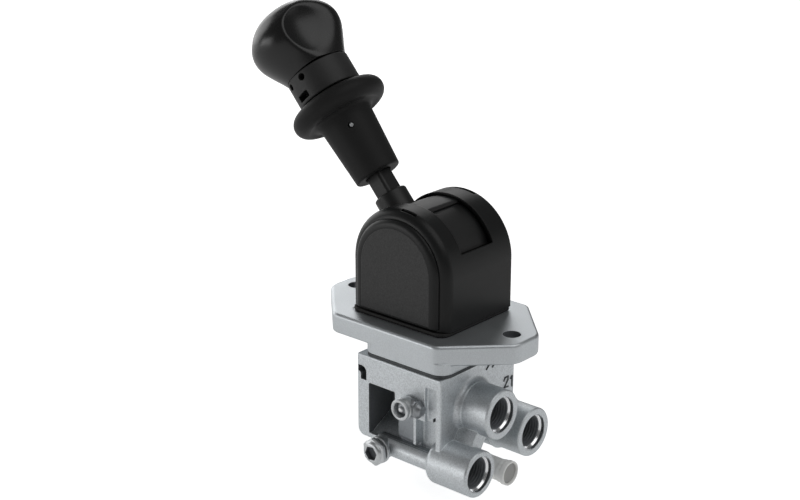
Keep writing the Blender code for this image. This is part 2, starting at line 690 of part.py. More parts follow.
def make_plug():
    washer_back = PLUG_BOSS_FRONT - GAP
    washer = turned("plug_washer", [
        (PLUG_WASHER_RADIUS, PLUG_WASHER_THICK), (PLUG_WASHER_RADIUS, 0.0),
        (PLUG_STEM_RADIUS + GAP, 0.0), (PLUG_STEM_RADIUS + GAP, PLUG_WASHER_THICK)], 20,
        slot=ZINC, location=point(PLUG_X, washer_back, TUBE_Z),
        rotation=(math.radians(90.0), 0, 0), parent=root, closed=True)
    smooth(washer)
    head_back = washer_back - PLUG_WASHER_THICK - GAP
    head_front = head_back - PLUG_HEAD_THICK
    head = rod("plug_screw", "Y", head_front, head_back, (PLUG_X, TUBE_Z), PLUG_HEAD_RADIUS, 6,
               slot=ZINC, parent=root)
    head.data.transform(Matrix.Rotation(math.radians(PLUG_HEAD_TURN), 4, "Z"))
    soften(head, 0.8, 1)
    stem = rod("plug_stem", "Y", head_front + 2.0, PLUG_BOSS_FRONT + PLUG_STEM_LENGTH - 2.0,
               (PLUG_X, TUBE_Z), PLUG_STEM_RADIUS, 16, group=shapers, parent=root)
    socket = rod("plug_socket", "Y", head_front - 1.0, head_front + 2.6, (PLUG_X, TUBE_Z),
                 3.2, 6, group=shapers, parent=root)
    join(head, stem)
    cut(head, socket)
    smooth(head)


def make_bottom():
    top = BODY_BOTTOM - GAP
    cover = block("bottom_cover", (COVER_LEFT, COVER_FRONT, top - COVER_THICK),
                  (COVER_RIGHT, COVER_BACK, top), slot=CAST, parent=root)
    soften(cover, 0.8, 1)
    boss = rod("exhaust_boss", "X", EXHAUST_BOSS_START, EXHAUST_BOSS_END,
               (EXHAUST_Y, EXHAUST_Z), EXHAUST_BOSS_RADIUS, 24, group=shapers, parent=root)
    saddle = block("exhaust_saddle",
                   (EXHAUST_BOSS_START + 1.0, EXHAUST_Y - 6.0, EXHAUST_Z + 1.0),
                   (COVER_RIGHT - 1.5, EXHAUST_Y + 6.0, top - COVER_THICK + 1.0),
                   group=shapers, parent=root)
    join(cover, boss, saddle)
    bore = rod("exhaust_bore", "X", 8.0, EXHAUST_BOSS_END + 2.0, (EXHAUST_Y, EXHAUST_Z),
               STUB_RADIUS + GAP, 20, group=shapers, parent=root)
    drop = rod("exhaust_drop", "Z", EXHAUST_Z, top + 2.0, (9.0, EXHAUST_Y + 2.0), 3.0, 10,
               group=shapers, parent=root)
    side = rod("exhaust_side", "Z", top - 2.0, top + 2.0, (0.0, 0.0), 5.5, 12,
               group=shapers, parent=root)
    link_way = block("exhaust_link", (0.0, -5.0, top - 1.8), (10.0, 0.0, top + 2.0),
                     group=shapers, parent=root)
    cut(cover, bore, drop, side, link_way)
    for number, (x, y) in enumerate(COVER_SCREW_SPOTS, 1):
        cut(cover, rod(f"cover_screw_way_{number}", "Z", top - COVER_THICK - 2, top + 2,
                       (x, y), COVER_SCREW_RADIUS + GAP, 8, group=shapers, parent=root))
    smooth(cover)
    length = STUB_END - STUB_START
    stub = turned("exhaust_stub", [
        (STUB_BORE_RADIUS, length), (STUB_RING_RADIUS - 0.3, length),
        (STUB_RING_RADIUS, length - 0.3), (STUB_RING_RADIUS, length - 2.2),
        (STUB_RADIUS, length - 2.8), (STUB_RADIUS, 0.0), (STUB_BORE_RADIUS - 1.0, 0.0),
        (STUB_BORE_RADIUS - 1.0, length - 6.0), (STUB_BORE_RADIUS, length - 6.0)], 18,
        slot=STUB_GREY, location=point(STUB_START, EXHAUST_Y, EXHAUST_Z),
        rotation=(0, math.radians(90.0), 0), parent=root, closed=True)
    smooth(stub)
    insert = turned("exhaust_insert", [
        (0.0, 3.0), (STUB_BORE_RADIUS - 0.8, 3.0), (STUB_BORE_RADIUS - GAP, 2.5),
        (STUB_BORE_RADIUS - GAP, 0.0), (0.0, 0.0)], 18, slot=INSERT_WHITE,
        location=point(STUB_END - 4.4, EXHAUST_Y, EXHAUST_Z),
        rotation=(0, math.radians(90.0), 0), parent=root)
    smooth(insert)


def make_cap():
    cap = prism("lever_cap", arch_outline(CAP_RADIUS, CAP_BOTTOM, 26), CAP_FRONT, CAP_BACK,
                slot=CAP_BLACK, parent=root)
    # The front arch edge is rounded wide, the back one narrow.
    weights = cap.data.attributes.new("bevel_weight_edge", "FLOAT", "EDGE")
    for line in cap.data.edges:
        ends = [cap.data.vertices[i].co for i in line.vertices]
        along = abs(ends[0].z - ends[1].z) < 0.0001
        low = all(spot.y < (CAP_BOTTOM + 0.1) * MM for spot in ends)
        if along and not low:
            if ends[0].z > 0:
                weights.data[line.index].value = 1.0
            else:
                weights.data[line.index].value = CAP_BACK_ROUND / CAP_FRONT_ROUND
    bevel = cap.modifiers.new("arch_edges", "BEVEL")
    bevel.width = CAP_FRONT_ROUND * MM
    bevel.segments = 3
    bevel.limit_method = "WEIGHT"
    inside = prism("cap_inside", arch_outline(CAP_RADIUS - CAP_WALL, -5.0, 16),
                   CAP_FRONT + CAP_END_WALL, CAP_BACK - CAP_END_WALL, group=shapers,
                   parent=root)
    channel = prism("cap_channel", arch_outline(CHANNEL_RADIUS, -5.0, 22), -CHANNEL_HALF_Y,
                    CHANNEL_HALF_Y, group=shapers, parent=root)
    window = prism("cap_window",
                   sector_outline(CAP_RADIUS - 8.5, CAP_RADIUS + 7.5, -WINDOW_ANGLE,
                                  WINDOW_ANGLE, 10),
                   -WINDOW_HALF_Y, WINDOW_HALF_Y, group=shapers, parent=root)
    cut(cap, inside, channel, window)
    for number, (x, y) in enumerate(CAP_SCREW_SPOTS, 1):
        post = rod(f"cap_post_{number}", "Z", CAP_BOTTOM, 16.0, (x, y), 3.2, 8,
                   group=shapers, parent=root)
        join(cap, post)
    for number, (x, y) in enumerate(CAP_SCREW_SPOTS, 1):
        hole = rod(f"cap_post_hole_{number}", "Z", CAP_BOTTOM - 2, CAP_SCREW_END + 1.0, (x, y),
                   CAP_SCREW_RADIUS + GAP, 7, group=shapers, parent=root)
        cut(cap, hole)
    for name, y, left, right in (("front_slit", -20.4, -1.0, 16.5),
                                 ("back_slit", 21.6, -8.0, 16.0)):
        slit = prism(name, sector_outline(CAP_RADIUS - 1.5, CAP_RADIUS + 1.5, left, right, 6),
                     y - 0.7, y + 0.7, group=shapers, parent=root)
        cut(cap, slit)
    smooth(cap)


def make_front_cover():
    cover = prism("cap_front_cover", arch_outline(FRONT_COVER_RADIUS, CAP_BOTTOM + 1.2, 26),
                  FRONT_COVER_Y, CAP_FRONT - GAP, slot=PANEL_BLACK, parent=root)
    weights = cover.data.attributes.new("bevel_weight_edge", "FLOAT", "EDGE")
    for line in cover.data.edges:
        ends = [cover.data.vertices[i].co for i in line.vertices]
        along = abs(ends[0].z - ends[1].z) < 0.0001
        low = all(spot.y < (CAP_BOTTOM + 1.3) * MM for spot in ends)
        if along and not low and ends[0].z > 0:
            weights.data[line.index].value = 1.0
    bevel = cover.modifiers.new("arch_edge", "BEVEL")
    bevel.width = FRONT_COVER_ROUND * MM
    bevel.segments = 3
    bevel.limit_method = "WEIGHT"
    smooth(cover)


def make_cap_gasket():
    side = CAP_RADIUS - 0.5
    corners = [(-side, CAP_FRONT - 1.6), (side, CAP_FRONT - 1.6),
               (side, CAP_BACK - 0.4), (-side, CAP_BACK - 0.4)]
    gasket = prism("cap_gasket", rounded_outline(corners, 3.4, 3), SEAT_TOP, CAP_BOTTOM - GAP,
                   slot=RUBBER, parent=root, upright=False)
    inner = CAP_RADIUS - CAP_WALL
    cut(gasket, block("cap_gasket_inside", (-inner, CAP_FRONT + CAP_END_WALL, -2.0),
                      (inner, CAP_BACK - CAP_END_WALL, 4.0), group=shapers, parent=root))
    smooth(gasket)


def make_bracket():
    base = block("lever_bracket", (BRACKET_LEFT, -BRACKET_FOOT_HALF_Y, SEAT_TOP),
                 (BRACKET_RIGHT, BRACKET_FOOT_HALF_Y, BRACKET_BASE), slot=PRESSED, parent=root)
    join(base, block("bracket_cross", (-BRACKET_FOOT_HALF_X, -BRACKET_HALF_Y, SEAT_TOP),
                     (BRACKET_FOOT_HALF_X, BRACKET_HALF_Y, BRACKET_BASE), group=shapers,
                     parent=root))
    for side in (-1, 1):
        inner = BRACKET_HALF_Y - CHEEK_THICK
        low, high = sorted((side * inner, side * BRACKET_HALF_Y))
        outline = [(-BRACKET_FOOT_HALF_X + 0.5, SEAT_TOP + 1.0),
                   (BRACKET_FOOT_HALF_X - 0.5, SEAT_TOP + 1.0)]
        outline += arc((0.0, PIVOT_Z), CHEEK_HALF_X, 0.0, 180.0, 8)
        join(base, prism(f"cheek_{side + 2}", outline, low, high, group=shapers, parent=root))
        cut(base, rod(f"cheek_hole_{side + 2}", "Y", low - 1, high + 1, (0, PIVOT_Z),
                      BUSH_RADIUS + GAP, 14, group=shapers, parent=root))
    cut(base, rod("bracket_centre", "Z", -2, 8, (0, 0), TAPPET_HEAD_RADIUS + 1.0, 14,
                  group=shapers, parent=root))
    for number, spot in enumerate(BODY_SCREW_SPOTS, 1):
        cut(base, rod(f"bracket_screw_way_{number}", "Z", -2, 8, spot,
                      BODY_SCREW_RADIUS + GAP, 8, group=shapers, parent=root))
    smooth(base)
    shaft = rod("lever_shaft", "Y", -BRACKET_HALF_Y - 0.2, BRACKET_HALF_Y + 0.2, (0, PIVOT_Z),
                SHAFT_RADIUS, 16, slot=STEEL, parent=root)
    soften(shaft, 0.5, 1)
    smooth(shaft)
    for name, side in (("shaft_bush_front", -1), ("shaft_bush_back", 1)):
        bush = turned(name, [
            (BUSH_RADIUS, CHEEK_THICK - 0.2), (BUSH_RADIUS, 0.2), (SHAFT_RADIUS + GAP, 0.2),
            (SHAFT_RADIUS + GAP, CHEEK_THICK - 0.2)], 16, slot=BRASS,
            location=point(0, side * BRACKET_HALF_Y, PIVOT_Z),
            rotation=(math.radians(90.0 * side), 0, 0), parent=root, closed=True)
        smooth(bush)


def cam_outline():
    """Flat-follower cam: its reach straight down grows evenly as the lever turns."""
    rate = CAM_TRAVEL / math.radians(LEVER_SWING)
    spots = []
    for i in range(13):
        turn = math.radians(LEVER_SWING * i / 12)
        reach = CAM_BASE + rate * turn
        angle = -math.pi / 2 + turn
        x = reach * math.cos(angle) - rate * math.sin(angle)
        z = reach * math.sin(angle) + rate * math.cos(angle)
        spots.append((x, z))
    return [(-6.0, 3.0), (-6.0, -CAM_BASE + 1.5)] + spots + [(9.0, 6.0)]


def make_lever():
    rod_solid = block("lever_rod", (STEM_OFFSET - ROD_HALF, -ROD_HALF, SHOULDER_TOP - 3.0),
                      (STEM_OFFSET + ROD_HALF, ROD_HALF, ROD_TOP), slot=ROD_BLACK,
                      parent=lever_frame)
    # The lever turns about the origin of this piece, so its mesh carries the stem's place.
    rod_solid.data.transform(Matrix.Translation(rod_solid.location))
    rod_solid.location = (0, 0, 0)
    soften(rod_solid, ROD_CORNER, 2)
    neck = turned("shoulder", [
        (0.0, SHOULDER_TOP), (SHOULDER_RADIUS - 1.2, SHOULDER_TOP),
        (SHOULDER_RADIUS, SHOULDER_TOP - 1.2), (SHOULDER_RADIUS, 0.0), (0.0, 0.0)], 22,
        group=shapers, location=point(STEM_OFFSET, 0, 0), parent=lever_frame)
    hub = rod("hub", "Y", -HUB_HALF_Y, HUB_HALF_Y, (0, 0), HUB_RADIUS, 24, group=shapers,
              parent=lever_frame)
    cam = prism("cam", cam_outline(), -CAM_HALF_Y, CAM_HALF_Y, group=shapers, parent=root)
    cam.location = point(0, 0, PIVOT_Z)
    eye = rod("hub_eye", "Y", -HUB_HALF_Y - 2, HUB_HALF_Y + 2, (0, 0), SHAFT_RADIUS + GAP, 16,
              group=shapers, parent=lever_frame)
    join(rod_solid, neck, hub, cam)
    cut(rod_solid, eye)
    smooth(rod_solid)


def make_slot_covers():
    upper = prism("slot_cover", sector_outline(
        UPPER_LEAF_IN, UPPER_LEAF_OUT, STEM_POLAR - UPPER_LEAF_ANGLE,
        STEM_POLAR + UPPER_LEAF_ANGLE, 18), -COVER_HALF_Y, COVER_HALF_Y, slot=LEAF_BLACK,
        parent=root)
    upper.data.transform(Matrix.Translation(point(0, -PIVOT_Z, 0)))
    upper.location = point(0, 0, PIVOT_Z)
    hole = rod("neck_way", "Z", 15.0, 40.0, (STEM_OFFSET, 0), SHOULDER_RADIUS + GAP, 24,
               group=shapers, parent=lever_frame)
    cut(upper, hole)
    smooth(upper, 20.0)
    centre = STEM_POLAR * LOWER_LEAF_RATIO
    lower = prism("slot_cover_lower", sector_outline(
        LOWER_LEAF_IN, LOWER_LEAF_OUT, centre - LOWER_LEAF_ANGLE, centre + LOWER_LEAF_ANGLE,
        24), -COVER_HALF_Y, COVER_HALF_Y, slot=LEAF_BLACK, parent=root)
    lower.data.transform(Matrix.Translation(point(0, -PIVOT_Z, 0)))
    lower.location = point(0, 0, PIVOT_Z)
    reach = LEVER_SWING * (1.0 - LOWER_LEAF_RATIO)
    slot = prism("lower_slot", sector_outline(
        LOWER_LEAF_IN - 4.5, LOWER_LEAF_OUT + 4.5, STEM_POLAR - LOWER_SLOT_MARGIN, STEM_POLAR + reach + LOWER_SLOT_MARGIN, 12),
        -LOWER_SLOT_HALF_Y, LOWER_SLOT_HALF_Y, group=shapers, parent=root)
    cut(lower, slot)
    smooth(lower, 20.0)


def make_lift_ring():
    top = DISC_MIDDLE + DISC_HALF
    bottom = DISC_MIDDLE - DISC_HALF
    rim = DISC_RADIUS - DISC_HALF
    edge = [(rim + DISC_HALF * math.cos(math.radians(turn)),
             DISC_MIDDLE + DISC_HALF * math.sin(math.radians(turn)))
            for turn in range(90, -91, -30)]
    profile = [(DISC_POCKET_RADIUS, top)] + edge + [
        (rim - 2.2, bottom + 0.3), (SLEEVE_TOP_RADIUS + 1.0, SLEEVE_TOP + 2.2),
        (SLEEVE_TOP_RADIUS, SLEEVE_TOP), (SLEEVE_BOTTOM_RADIUS, SLEEVE_BOTTOM + 1.6),
        (SLEEVE_BOTTOM_RADIUS - 0.5, SLEEVE_BOTTOM + 0.4),
        (SLEEVE_BOTTOM_RADIUS - 1.4, SLEEVE_BOTTOM), (SLEEVE_GUIDE_RADIUS, SLEEVE_BOTTOM),
        (SLEEVE_GUIDE_RADIUS, SLEEVE_STEP), (SLEEVE_BORE_RADIUS, SLEEVE_STEP),
        (SLEEVE_BORE_RADIUS, DISC_POCKET_FLOOR), (DISC_POCKET_RADIUS, DISC_POCKET_FLOOR)]
    ring = turned("lift_ring", profile, 30, slot=RING_BLACK, location=point(STEM_OFFSET, 0, 0),
                  parent=lever_frame, closed=True)
    turn = math.radians(LIFT_PIN_TURN)
    pin_hole = rod("pin_way", "Z", -4.0, 4.0, (0, 0), LIFT_PIN_RADIUS + GAP, 12,
                   group=shapers, parent=lever_frame)
    place_radial(pin_hole, SLEEVE_BORE_RADIUS + 2.3, LIFT_PIN_Z, turn)
    cut(ring, pin_hole)
    smooth(ring)
    pin = rod("lift_pin", "Z", -1.45, 1.45, (0, 0), LIFT_PIN_RADIUS, 12, slot=ZINC,
              parent=lever_frame)
    place_radial(pin, SLEEVE_BORE_RADIUS + 1.75, LIFT_PIN_Z, turn)
    smooth(pin)


def place_radial(item, reach, height, turn):
    """Lays an item made along Z on a spoke of the stem axis."""
    item.location = point(STEM_OFFSET + reach * math.cos(turn), reach * math.sin(turn), height)
    item.rotation_euler = (0, math.radians(90.0), turn)


def coil(name, radius, wire, low, high, turns, slot, location, parent):
    curve = bpy.data.curves.new(name + "_path", "CURVE")
    curve.dimensions = "3D"
    curve.bevel_depth = wire * MM
    curve.bevel_resolution = 0
    curve.use_fill_caps = True
    steps = 9
    line = curve.splines.new("POLY")
    line.points.add(turns * steps)
    for i, spot in enumerate(line.points):
        turn = 2.0 * math.pi * i / steps
        height = low + wire + (high - low - 2.0 * wire) * i / (turns * steps)
        spot.co = (radius * MM * math.cos(turn), radius * MM * math.sin(turn), height * MM, 1.0)
    sketch = bpy.data.objects.new(name + "_sketch", curve)
    mesh = bpy.data.meshes.new_from_object(sketch)
    bpy.data.objects.remove(sketch)
    work = bmesh.new()
    work.from_mesh(mesh)
    bmesh.ops.remove_doubles(work, verts=work.verts, dist=0.000001)
    bmesh.ops.recalc_face_normals(work, faces=work.faces)
    work.to_mesh(mesh)
    work.free()
    item = link(name, mesh, parts, slot, location, (0, 0, 0), parent)
    smooth(item, 60.0)
    return item


def make_collar():
    length = COLLAR_TOP - COLLAR_BOTTOM
    collar = turned("knob_collar", [
        (COLLAR_BORE_RADIUS, length), (COLLAR_RADIUS - 0.5, length),
        (COLLAR_RADIUS, length - 0.5), (COLLAR_RADIUS, 0.6), (COLLAR_RADIUS - 0.6, 0.0),
        (COLLAR_BORE_RADIUS, 0.0)], 32, slot=COLLAR_BLACK,
        location=point(STEM_OFFSET, 0, COLLAR_BOTTOM), parent=lever_frame, closed=True)
    for number, offset in enumerate((-18.0, 18.0), 1):
        hole = rod(f"collar_hole_{number}", "Z", -4.0, 4.0, (0, 0), COLLAR_HOLE_RADIUS, 12,
                   group=shapers, parent=lever_frame)
        place_radial(hole, COLLAR_RADIUS, COLLAR_TOP - 2.8,
                     math.radians(COLLAR_FACE_ANGLE + offset))
        cut(collar, hole)
    slot = block("collar_slot", (-2.2, -3.8, -3.6), (2.2, 3.8, 3.6), group=shapers,
                 parent=lever_frame)
    place_radial(slot, COLLAR_RADIUS, COLLAR_BOTTOM + 4.6, math.radians(COLLAR_FACE_ANGLE))
    soften(slot, 0.5, 1)
    cut(collar, slot)
    smooth(collar)


def make_knob():
    profile = [(radius * KNOB_RADIUS, height * KNOB_HEIGHT) for radius, height in KNOB_PROFILE]
    knob = turned("knob_head", profile, 36, slot=KNOB_BLACK,
                  location=point(STEM_OFFSET, 0, KNOB_BOTTOM),
                  rotation=(0, math.radians(KNOB_LEAN), 0), parent=lever_frame)
    turn = math.radians(SPOON_TURN)
    ball = [(abs(spot[0]), spot[1]) for spot in arc((0.0, 0.0), SPOON_RADIUS, 90.0, -90.0, 18)]
    spoon = turned("knob_spoon", ball, 36, group=shapers, parent=lever_frame,
                   location=point(STEM_OFFSET + SPOON_REACH * math.cos(turn),
                                  SPOON_REACH * math.sin(turn), KNOB_BOTTOM + SPOON_HEIGHT))
    way = rod("knob_way", "Z", KNOB_BOTTOM - 4, ROD_TOP + 1.0, (STEM_OFFSET, 0),
              COLLAR_BORE_RADIUS, 24, group=shapers, parent=lever_frame)
    under = block("knob_under", (STEM_OFFSET - 30, -30, KNOB_BOTTOM - 12),
                  (STEM_OFFSET + 30, 30, KNOB_BOTTOM), group=shapers, parent=lever_frame)
    cut(knob, spoon, way, under)
    smooth(knob, 25.0)


def make_valve_train():
    top = PIVOT_Z - CAM_BASE - GAP
    foot = TAPPET_FOOT_TOP
    tappet = turned("tappet", [
        (0.0, top), (TAPPET_HEAD_RADIUS, top), (TAPPET_HEAD_RADIUS, top - TAPPET_HEAD_THICK),
        (TAPPET_RADIUS, top - TAPPET_HEAD_THICK), (TAPPET_RADIUS, foot),
        (TAPPET_FOOT_RADIUS, foot), (TAPPET_FOOT_RADIUS, foot - TAPPET_FOOT_THICK),
        (0.0, foot - TAPPET_FOOT_THICK)], 16, slot=STEEL, parent=root)
    smooth(tappet)
    coil("graduating_spring", SPRING_RADIUS, SPRING_WIRE, PISTON_TOP + GAP,
         foot - TAPPET_FOOT_THICK - GAP, 4, STEEL, point(0, 0, 0), root)
    piston = turned("control_piston", [
        (0.0, PISTON_TOP), (PISTON_RADIUS, PISTON_TOP), (PISTON_RADIUS, PISTON_TOP - 2.0),
        (PISTON_NECK_RADIUS, PISTON_TOP - 2.0), (PISTON_NECK_RADIUS, PISTON_TOP - 4.4),
        (PISTON_RADIUS, PISTON_TOP - 4.4), (PISTON_RADIUS, PISTON_BOTTOM),
        (3.0, PISTON_BOTTOM), (3.0, BODY_BOTTOM), (0.0, BODY_BOTTOM)], 16, slot=ZINC,
        parent=root)
    smooth(piston)
    middle = PISTON_TOP - 3.2
    seal = turned("piston_seal", [
        (SEAL_RADIUS + SEAL_WIRE * math.cos(math.radians(turn)),
         middle + SEAL_WIRE * math.sin(math.radians(turn)))
        for turn in range(90, -270, -90)], 14, slot=RUBBER, parent=root, closed=True)
    smooth(seal, 60.0)


def cap_screw(name, spot, head_low, head_high, end, head_radius, shank_radius, slot):
    """A socket head screw pointing along Z, head end given first."""
    x, y = spot
    sign = 1.0 if head_high > head_low else -1.0
    socket = head_radius * 0.5
    profile = [
        (0.0, head_high - sign * 1.8), (socket, head_high - sign * 1.8), (socket, head_high),
        (head_radius, head_high), (head_radius, head_low), (shank_radius, head_low),
        (shank_radius, end), (0.0, end)]
    if sign < 0:
        profile.reverse()
    screw = turned(name, profile, 8, slot=slot, location=point(x, y, 0), parent=root)
    smooth(screw)


def make_screws():
    for number, spot in enumerate(BODY_SCREW_SPOTS, 1):
        low = BRACKET_BASE + GAP
        cap_screw(f"body_screw_{number}", spot, low, low + BODY_SCREW_HEAD_HIGH,
                  BODY_SCREW_END, BODY_SCREW_HEAD, BODY_SCREW_RADIUS, ZINC)
    for number, spot in enumerate(CAP_SCREW_SPOTS, 1):
        low = CAP_SCREW_HEAD_Z - GAP
        cap_screw(f"cap_screw_{number}", spot, low, low - 2.8, CAP_SCREW_END,
                  CAP_SCREW_HEAD, CAP_SCREW_RADIUS, ZINC)
    for number, spot in enumerate(COVER_SCREW_SPOTS, 1):
        low = BODY_BOTTOM - COVER_THICK - 2.0 * GAP
        cap_screw(f"cover_screw_{number}", spot, low, low - 3.0,
                  BODY_BOTTOM + COVER_SCREW_DEPTH, COVER_SCREW_HEAD, COVER_SCREW_RADIUS, ZINC)


make_flange()
make_body_gasket()
make_body()
make_nipple()
make_plug()
make_bottom()
make_cap()
make_front_cover()
make_cap_gasket()
make_bracket()
make_lever()
make_slot_covers()
make_lift_ring()
coil("lift_spring", LIFT_SPRING_RADIUS, LIFT_SPRING_WIRE, SLEEVE_STEP + GAP,
     COLLAR_BOTTOM - LIFT_TRAVEL - GAP, 5, STEEL, point(STEM_OFFSET, 0, 0), lever_frame)
make_collar()
make_knob()
make_valve_train()
make_screws()
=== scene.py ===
import json
import math

import bmesh
import bpy
from mathutils import Matrix, Vector


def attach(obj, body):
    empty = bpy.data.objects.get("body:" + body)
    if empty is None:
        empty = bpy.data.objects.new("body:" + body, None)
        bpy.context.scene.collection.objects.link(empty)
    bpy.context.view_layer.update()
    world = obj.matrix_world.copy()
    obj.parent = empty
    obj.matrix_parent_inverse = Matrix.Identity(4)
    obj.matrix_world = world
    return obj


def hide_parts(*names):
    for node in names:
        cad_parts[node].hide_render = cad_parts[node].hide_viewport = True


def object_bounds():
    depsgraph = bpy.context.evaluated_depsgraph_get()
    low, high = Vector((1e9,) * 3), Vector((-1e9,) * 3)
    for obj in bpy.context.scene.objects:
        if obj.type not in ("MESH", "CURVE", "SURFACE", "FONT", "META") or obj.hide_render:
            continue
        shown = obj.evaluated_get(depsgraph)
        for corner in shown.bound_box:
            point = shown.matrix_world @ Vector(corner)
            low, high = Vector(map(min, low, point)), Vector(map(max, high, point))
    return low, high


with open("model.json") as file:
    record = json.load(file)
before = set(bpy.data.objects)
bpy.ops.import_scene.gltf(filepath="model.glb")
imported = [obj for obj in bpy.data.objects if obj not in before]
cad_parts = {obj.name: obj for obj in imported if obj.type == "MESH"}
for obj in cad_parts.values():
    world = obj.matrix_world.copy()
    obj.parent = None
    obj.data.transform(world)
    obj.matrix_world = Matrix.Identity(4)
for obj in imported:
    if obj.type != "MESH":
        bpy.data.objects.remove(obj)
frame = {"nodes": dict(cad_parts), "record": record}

cadLow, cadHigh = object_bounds()
nodes = frame["nodes"]
mm = 0.001

# The lengths in this file are in millimetres from the middle of the flange top;
# the shared frame's zero lies 37 mm to the right of it.
basePlace = Matrix.Translation((-37.0, 0.0, 0.0))
lever = {"pivot": 26.4, "tilt": -41.6, "stem": -2.66}
leverTurn = (Matrix.Translation((0.0, 0.0, lever["pivot"]))
             @ Matrix.Rotation(math.radians(lever["tilt"]), 4, "Y"))
stemTurn = leverTurn @ Matrix.Translation((lever["stem"], 0.0, 0.0))


def say(text):
    print("stage:", text)


def added(name, data):
    item = bpy.data.objects.new(name, data)
    bpy.context.scene.collection.objects.link(item)
    return item


def aimed(name, data, spot, aim):
    item = added(name, data)
    item.location = spot
    item.rotation_mode = "QUATERNION"
    item.rotation_quaternion = (Vector(aim) - Vector(spot)).to_track_quat("-Z", "Y")
    return item


# Camera
view = {"spot": (0.419872, -0.542158, 0.281654), "aim": (-0.087039, 0.034400, 0.008723),
        "lens": 71.907, "sensor": 36.0, "near": 0.05, "far": 20.0}


def makeCamera():
    data = bpy.data.cameras.new("camera")
    data.sensor_width = view["sensor"]
    data.lens = view["lens"]
    data.clip_start = view["near"]
    data.clip_end = view["far"]
    bpy.context.scene.camera = aimed("camera", data, view["spot"], view["aim"])


makeCamera()
say("camera")


# Shader groups
def newGroup(name, inputs, outputs):
    group = bpy.data.node_groups.new(name, "ShaderNodeTree")
    for label, kind, value in inputs:
        socket = group.interface.new_socket(name=label, in_out="INPUT", socket_type=kind)
        socket.default_value = value
    for label, kind in outputs:
        group.interface.new_socket(name=label, in_out="OUTPUT", socket_type=kind)
    source = group.nodes.new("NodeGroupInput")
    target = group.nodes.new("NodeGroupOutput")
    return group, source, target


def mathNode(group, operation, first, second=None, clamp=False):
    node = group.nodes.new("ShaderNodeMath")
    node.operation = operation
    node.use_clamp = clamp
    for place, value in ((0, first), (1, second)):
        if value is None:
            continue
        if isinstance(value, (int, float)):
            node.inputs[place].default_value = value
        else:
            group.links.new(value, node.inputs[place])
    return node.outputs[0]


def noiseNode(group, vector, scale, detail, roughness):
    node = group.nodes.new("ShaderNodeTexNoise")
    node.inputs["Detail"].default_value = detail
    node.inputs["Roughness"].default_value = roughness
    group.links.new(scale, node.inputs["Scale"])
    group.links.new(vector, node.inputs["Vector"])
    return node.outputs["Fac"]


# How far a point lies on a rounded edge, 0 to 1, and the softened normal there.
def makeEdgeGroup():
    group, source, target = newGroup(
        "edgeWearAndHighlight", [("Radius", "NodeSocketFloat", 0.0006), ("Gain", "NodeSocketFloat", 4.0)],
        [("Edge", "NodeSocketFloat"), ("Normal", "NodeSocketVector")])
    soft = group.nodes.new("ShaderNodeBevel")
    soft.samples = 6
    group.links.new(source.outputs["Radius"], soft.inputs["Radius"])
    geometry = group.nodes.new("ShaderNodeNewGeometry")
    dot = group.nodes.new("ShaderNodeVectorMath")
    dot.operation = "DOT_PRODUCT"
    group.links.new(soft.outputs["Normal"], dot.inputs[0])
    group.links.new(geometry.outputs["Normal"], dot.inputs[1])
    away = mathNode(group, "SUBTRACT", 1.0, dot.outputs["Value"])
    gained = mathNode(group, "MULTIPLY", away, source.outputs["Gain"], clamp=True)
    group.links.new(gained, target.inputs["Edge"])
    group.links.new(soft.outputs["Normal"], target.inputs["Normal"])
    return group


# Fine and broad unevenness: a height for bump, and two tones around 0.5.
def makeGrainGroup():
    group, source, target = newGroup(
        "surfaceGrain", [("Fine", "NodeSocketFloat", 2600.0), ("Broad", "NodeSocketFloat", 60.0)],
        [("Height", "NodeSocketFloat"), ("Speck", "NodeSocketFloat"),
         ("Cloud", "NodeSocketFloat")])
    place = group.nodes.new("ShaderNodeTexCoord")
    vector = place.outputs["Object"]
    fine = noiseNode(group, vector, source.outputs["Fine"], 3.0, 0.6)
    broad = noiseNode(group, vector, source.outputs["Broad"], 3.0, 0.55)
    group.links.new(fine, target.inputs["Height"])
    group.links.new(fine, target.inputs["Speck"])
    group.links.new(broad, target.inputs["Cloud"])
    return group


edgeGroup = makeEdgeGroup()
grainGroup = makeGrainGroup()


def stretch(tree, value, low, high):
    node = tree.nodes.new("ShaderNodeMapRange")
    node.inputs["To Min"].default_value = low
    node.inputs["To Max"].default_value = high
    tree.links.new(value, node.inputs["Value"])
    return node.outputs["Result"]


# The base colour scaled between two factors by a 0 to 1 value.
def mixTone(tree, base, value, low, high):
    scale = tree.nodes.new("ShaderNodeVectorMath")
    scale.operation = "SCALE"
    if isinstance(base, tuple):
        scale.inputs[0].default_value = base
    else:
        tree.links.new(base, scale.inputs[0])
    tree.links.new(stretch(tree, value, low, high), scale.inputs["Scale"])
    return scale.outputs["Vector"]


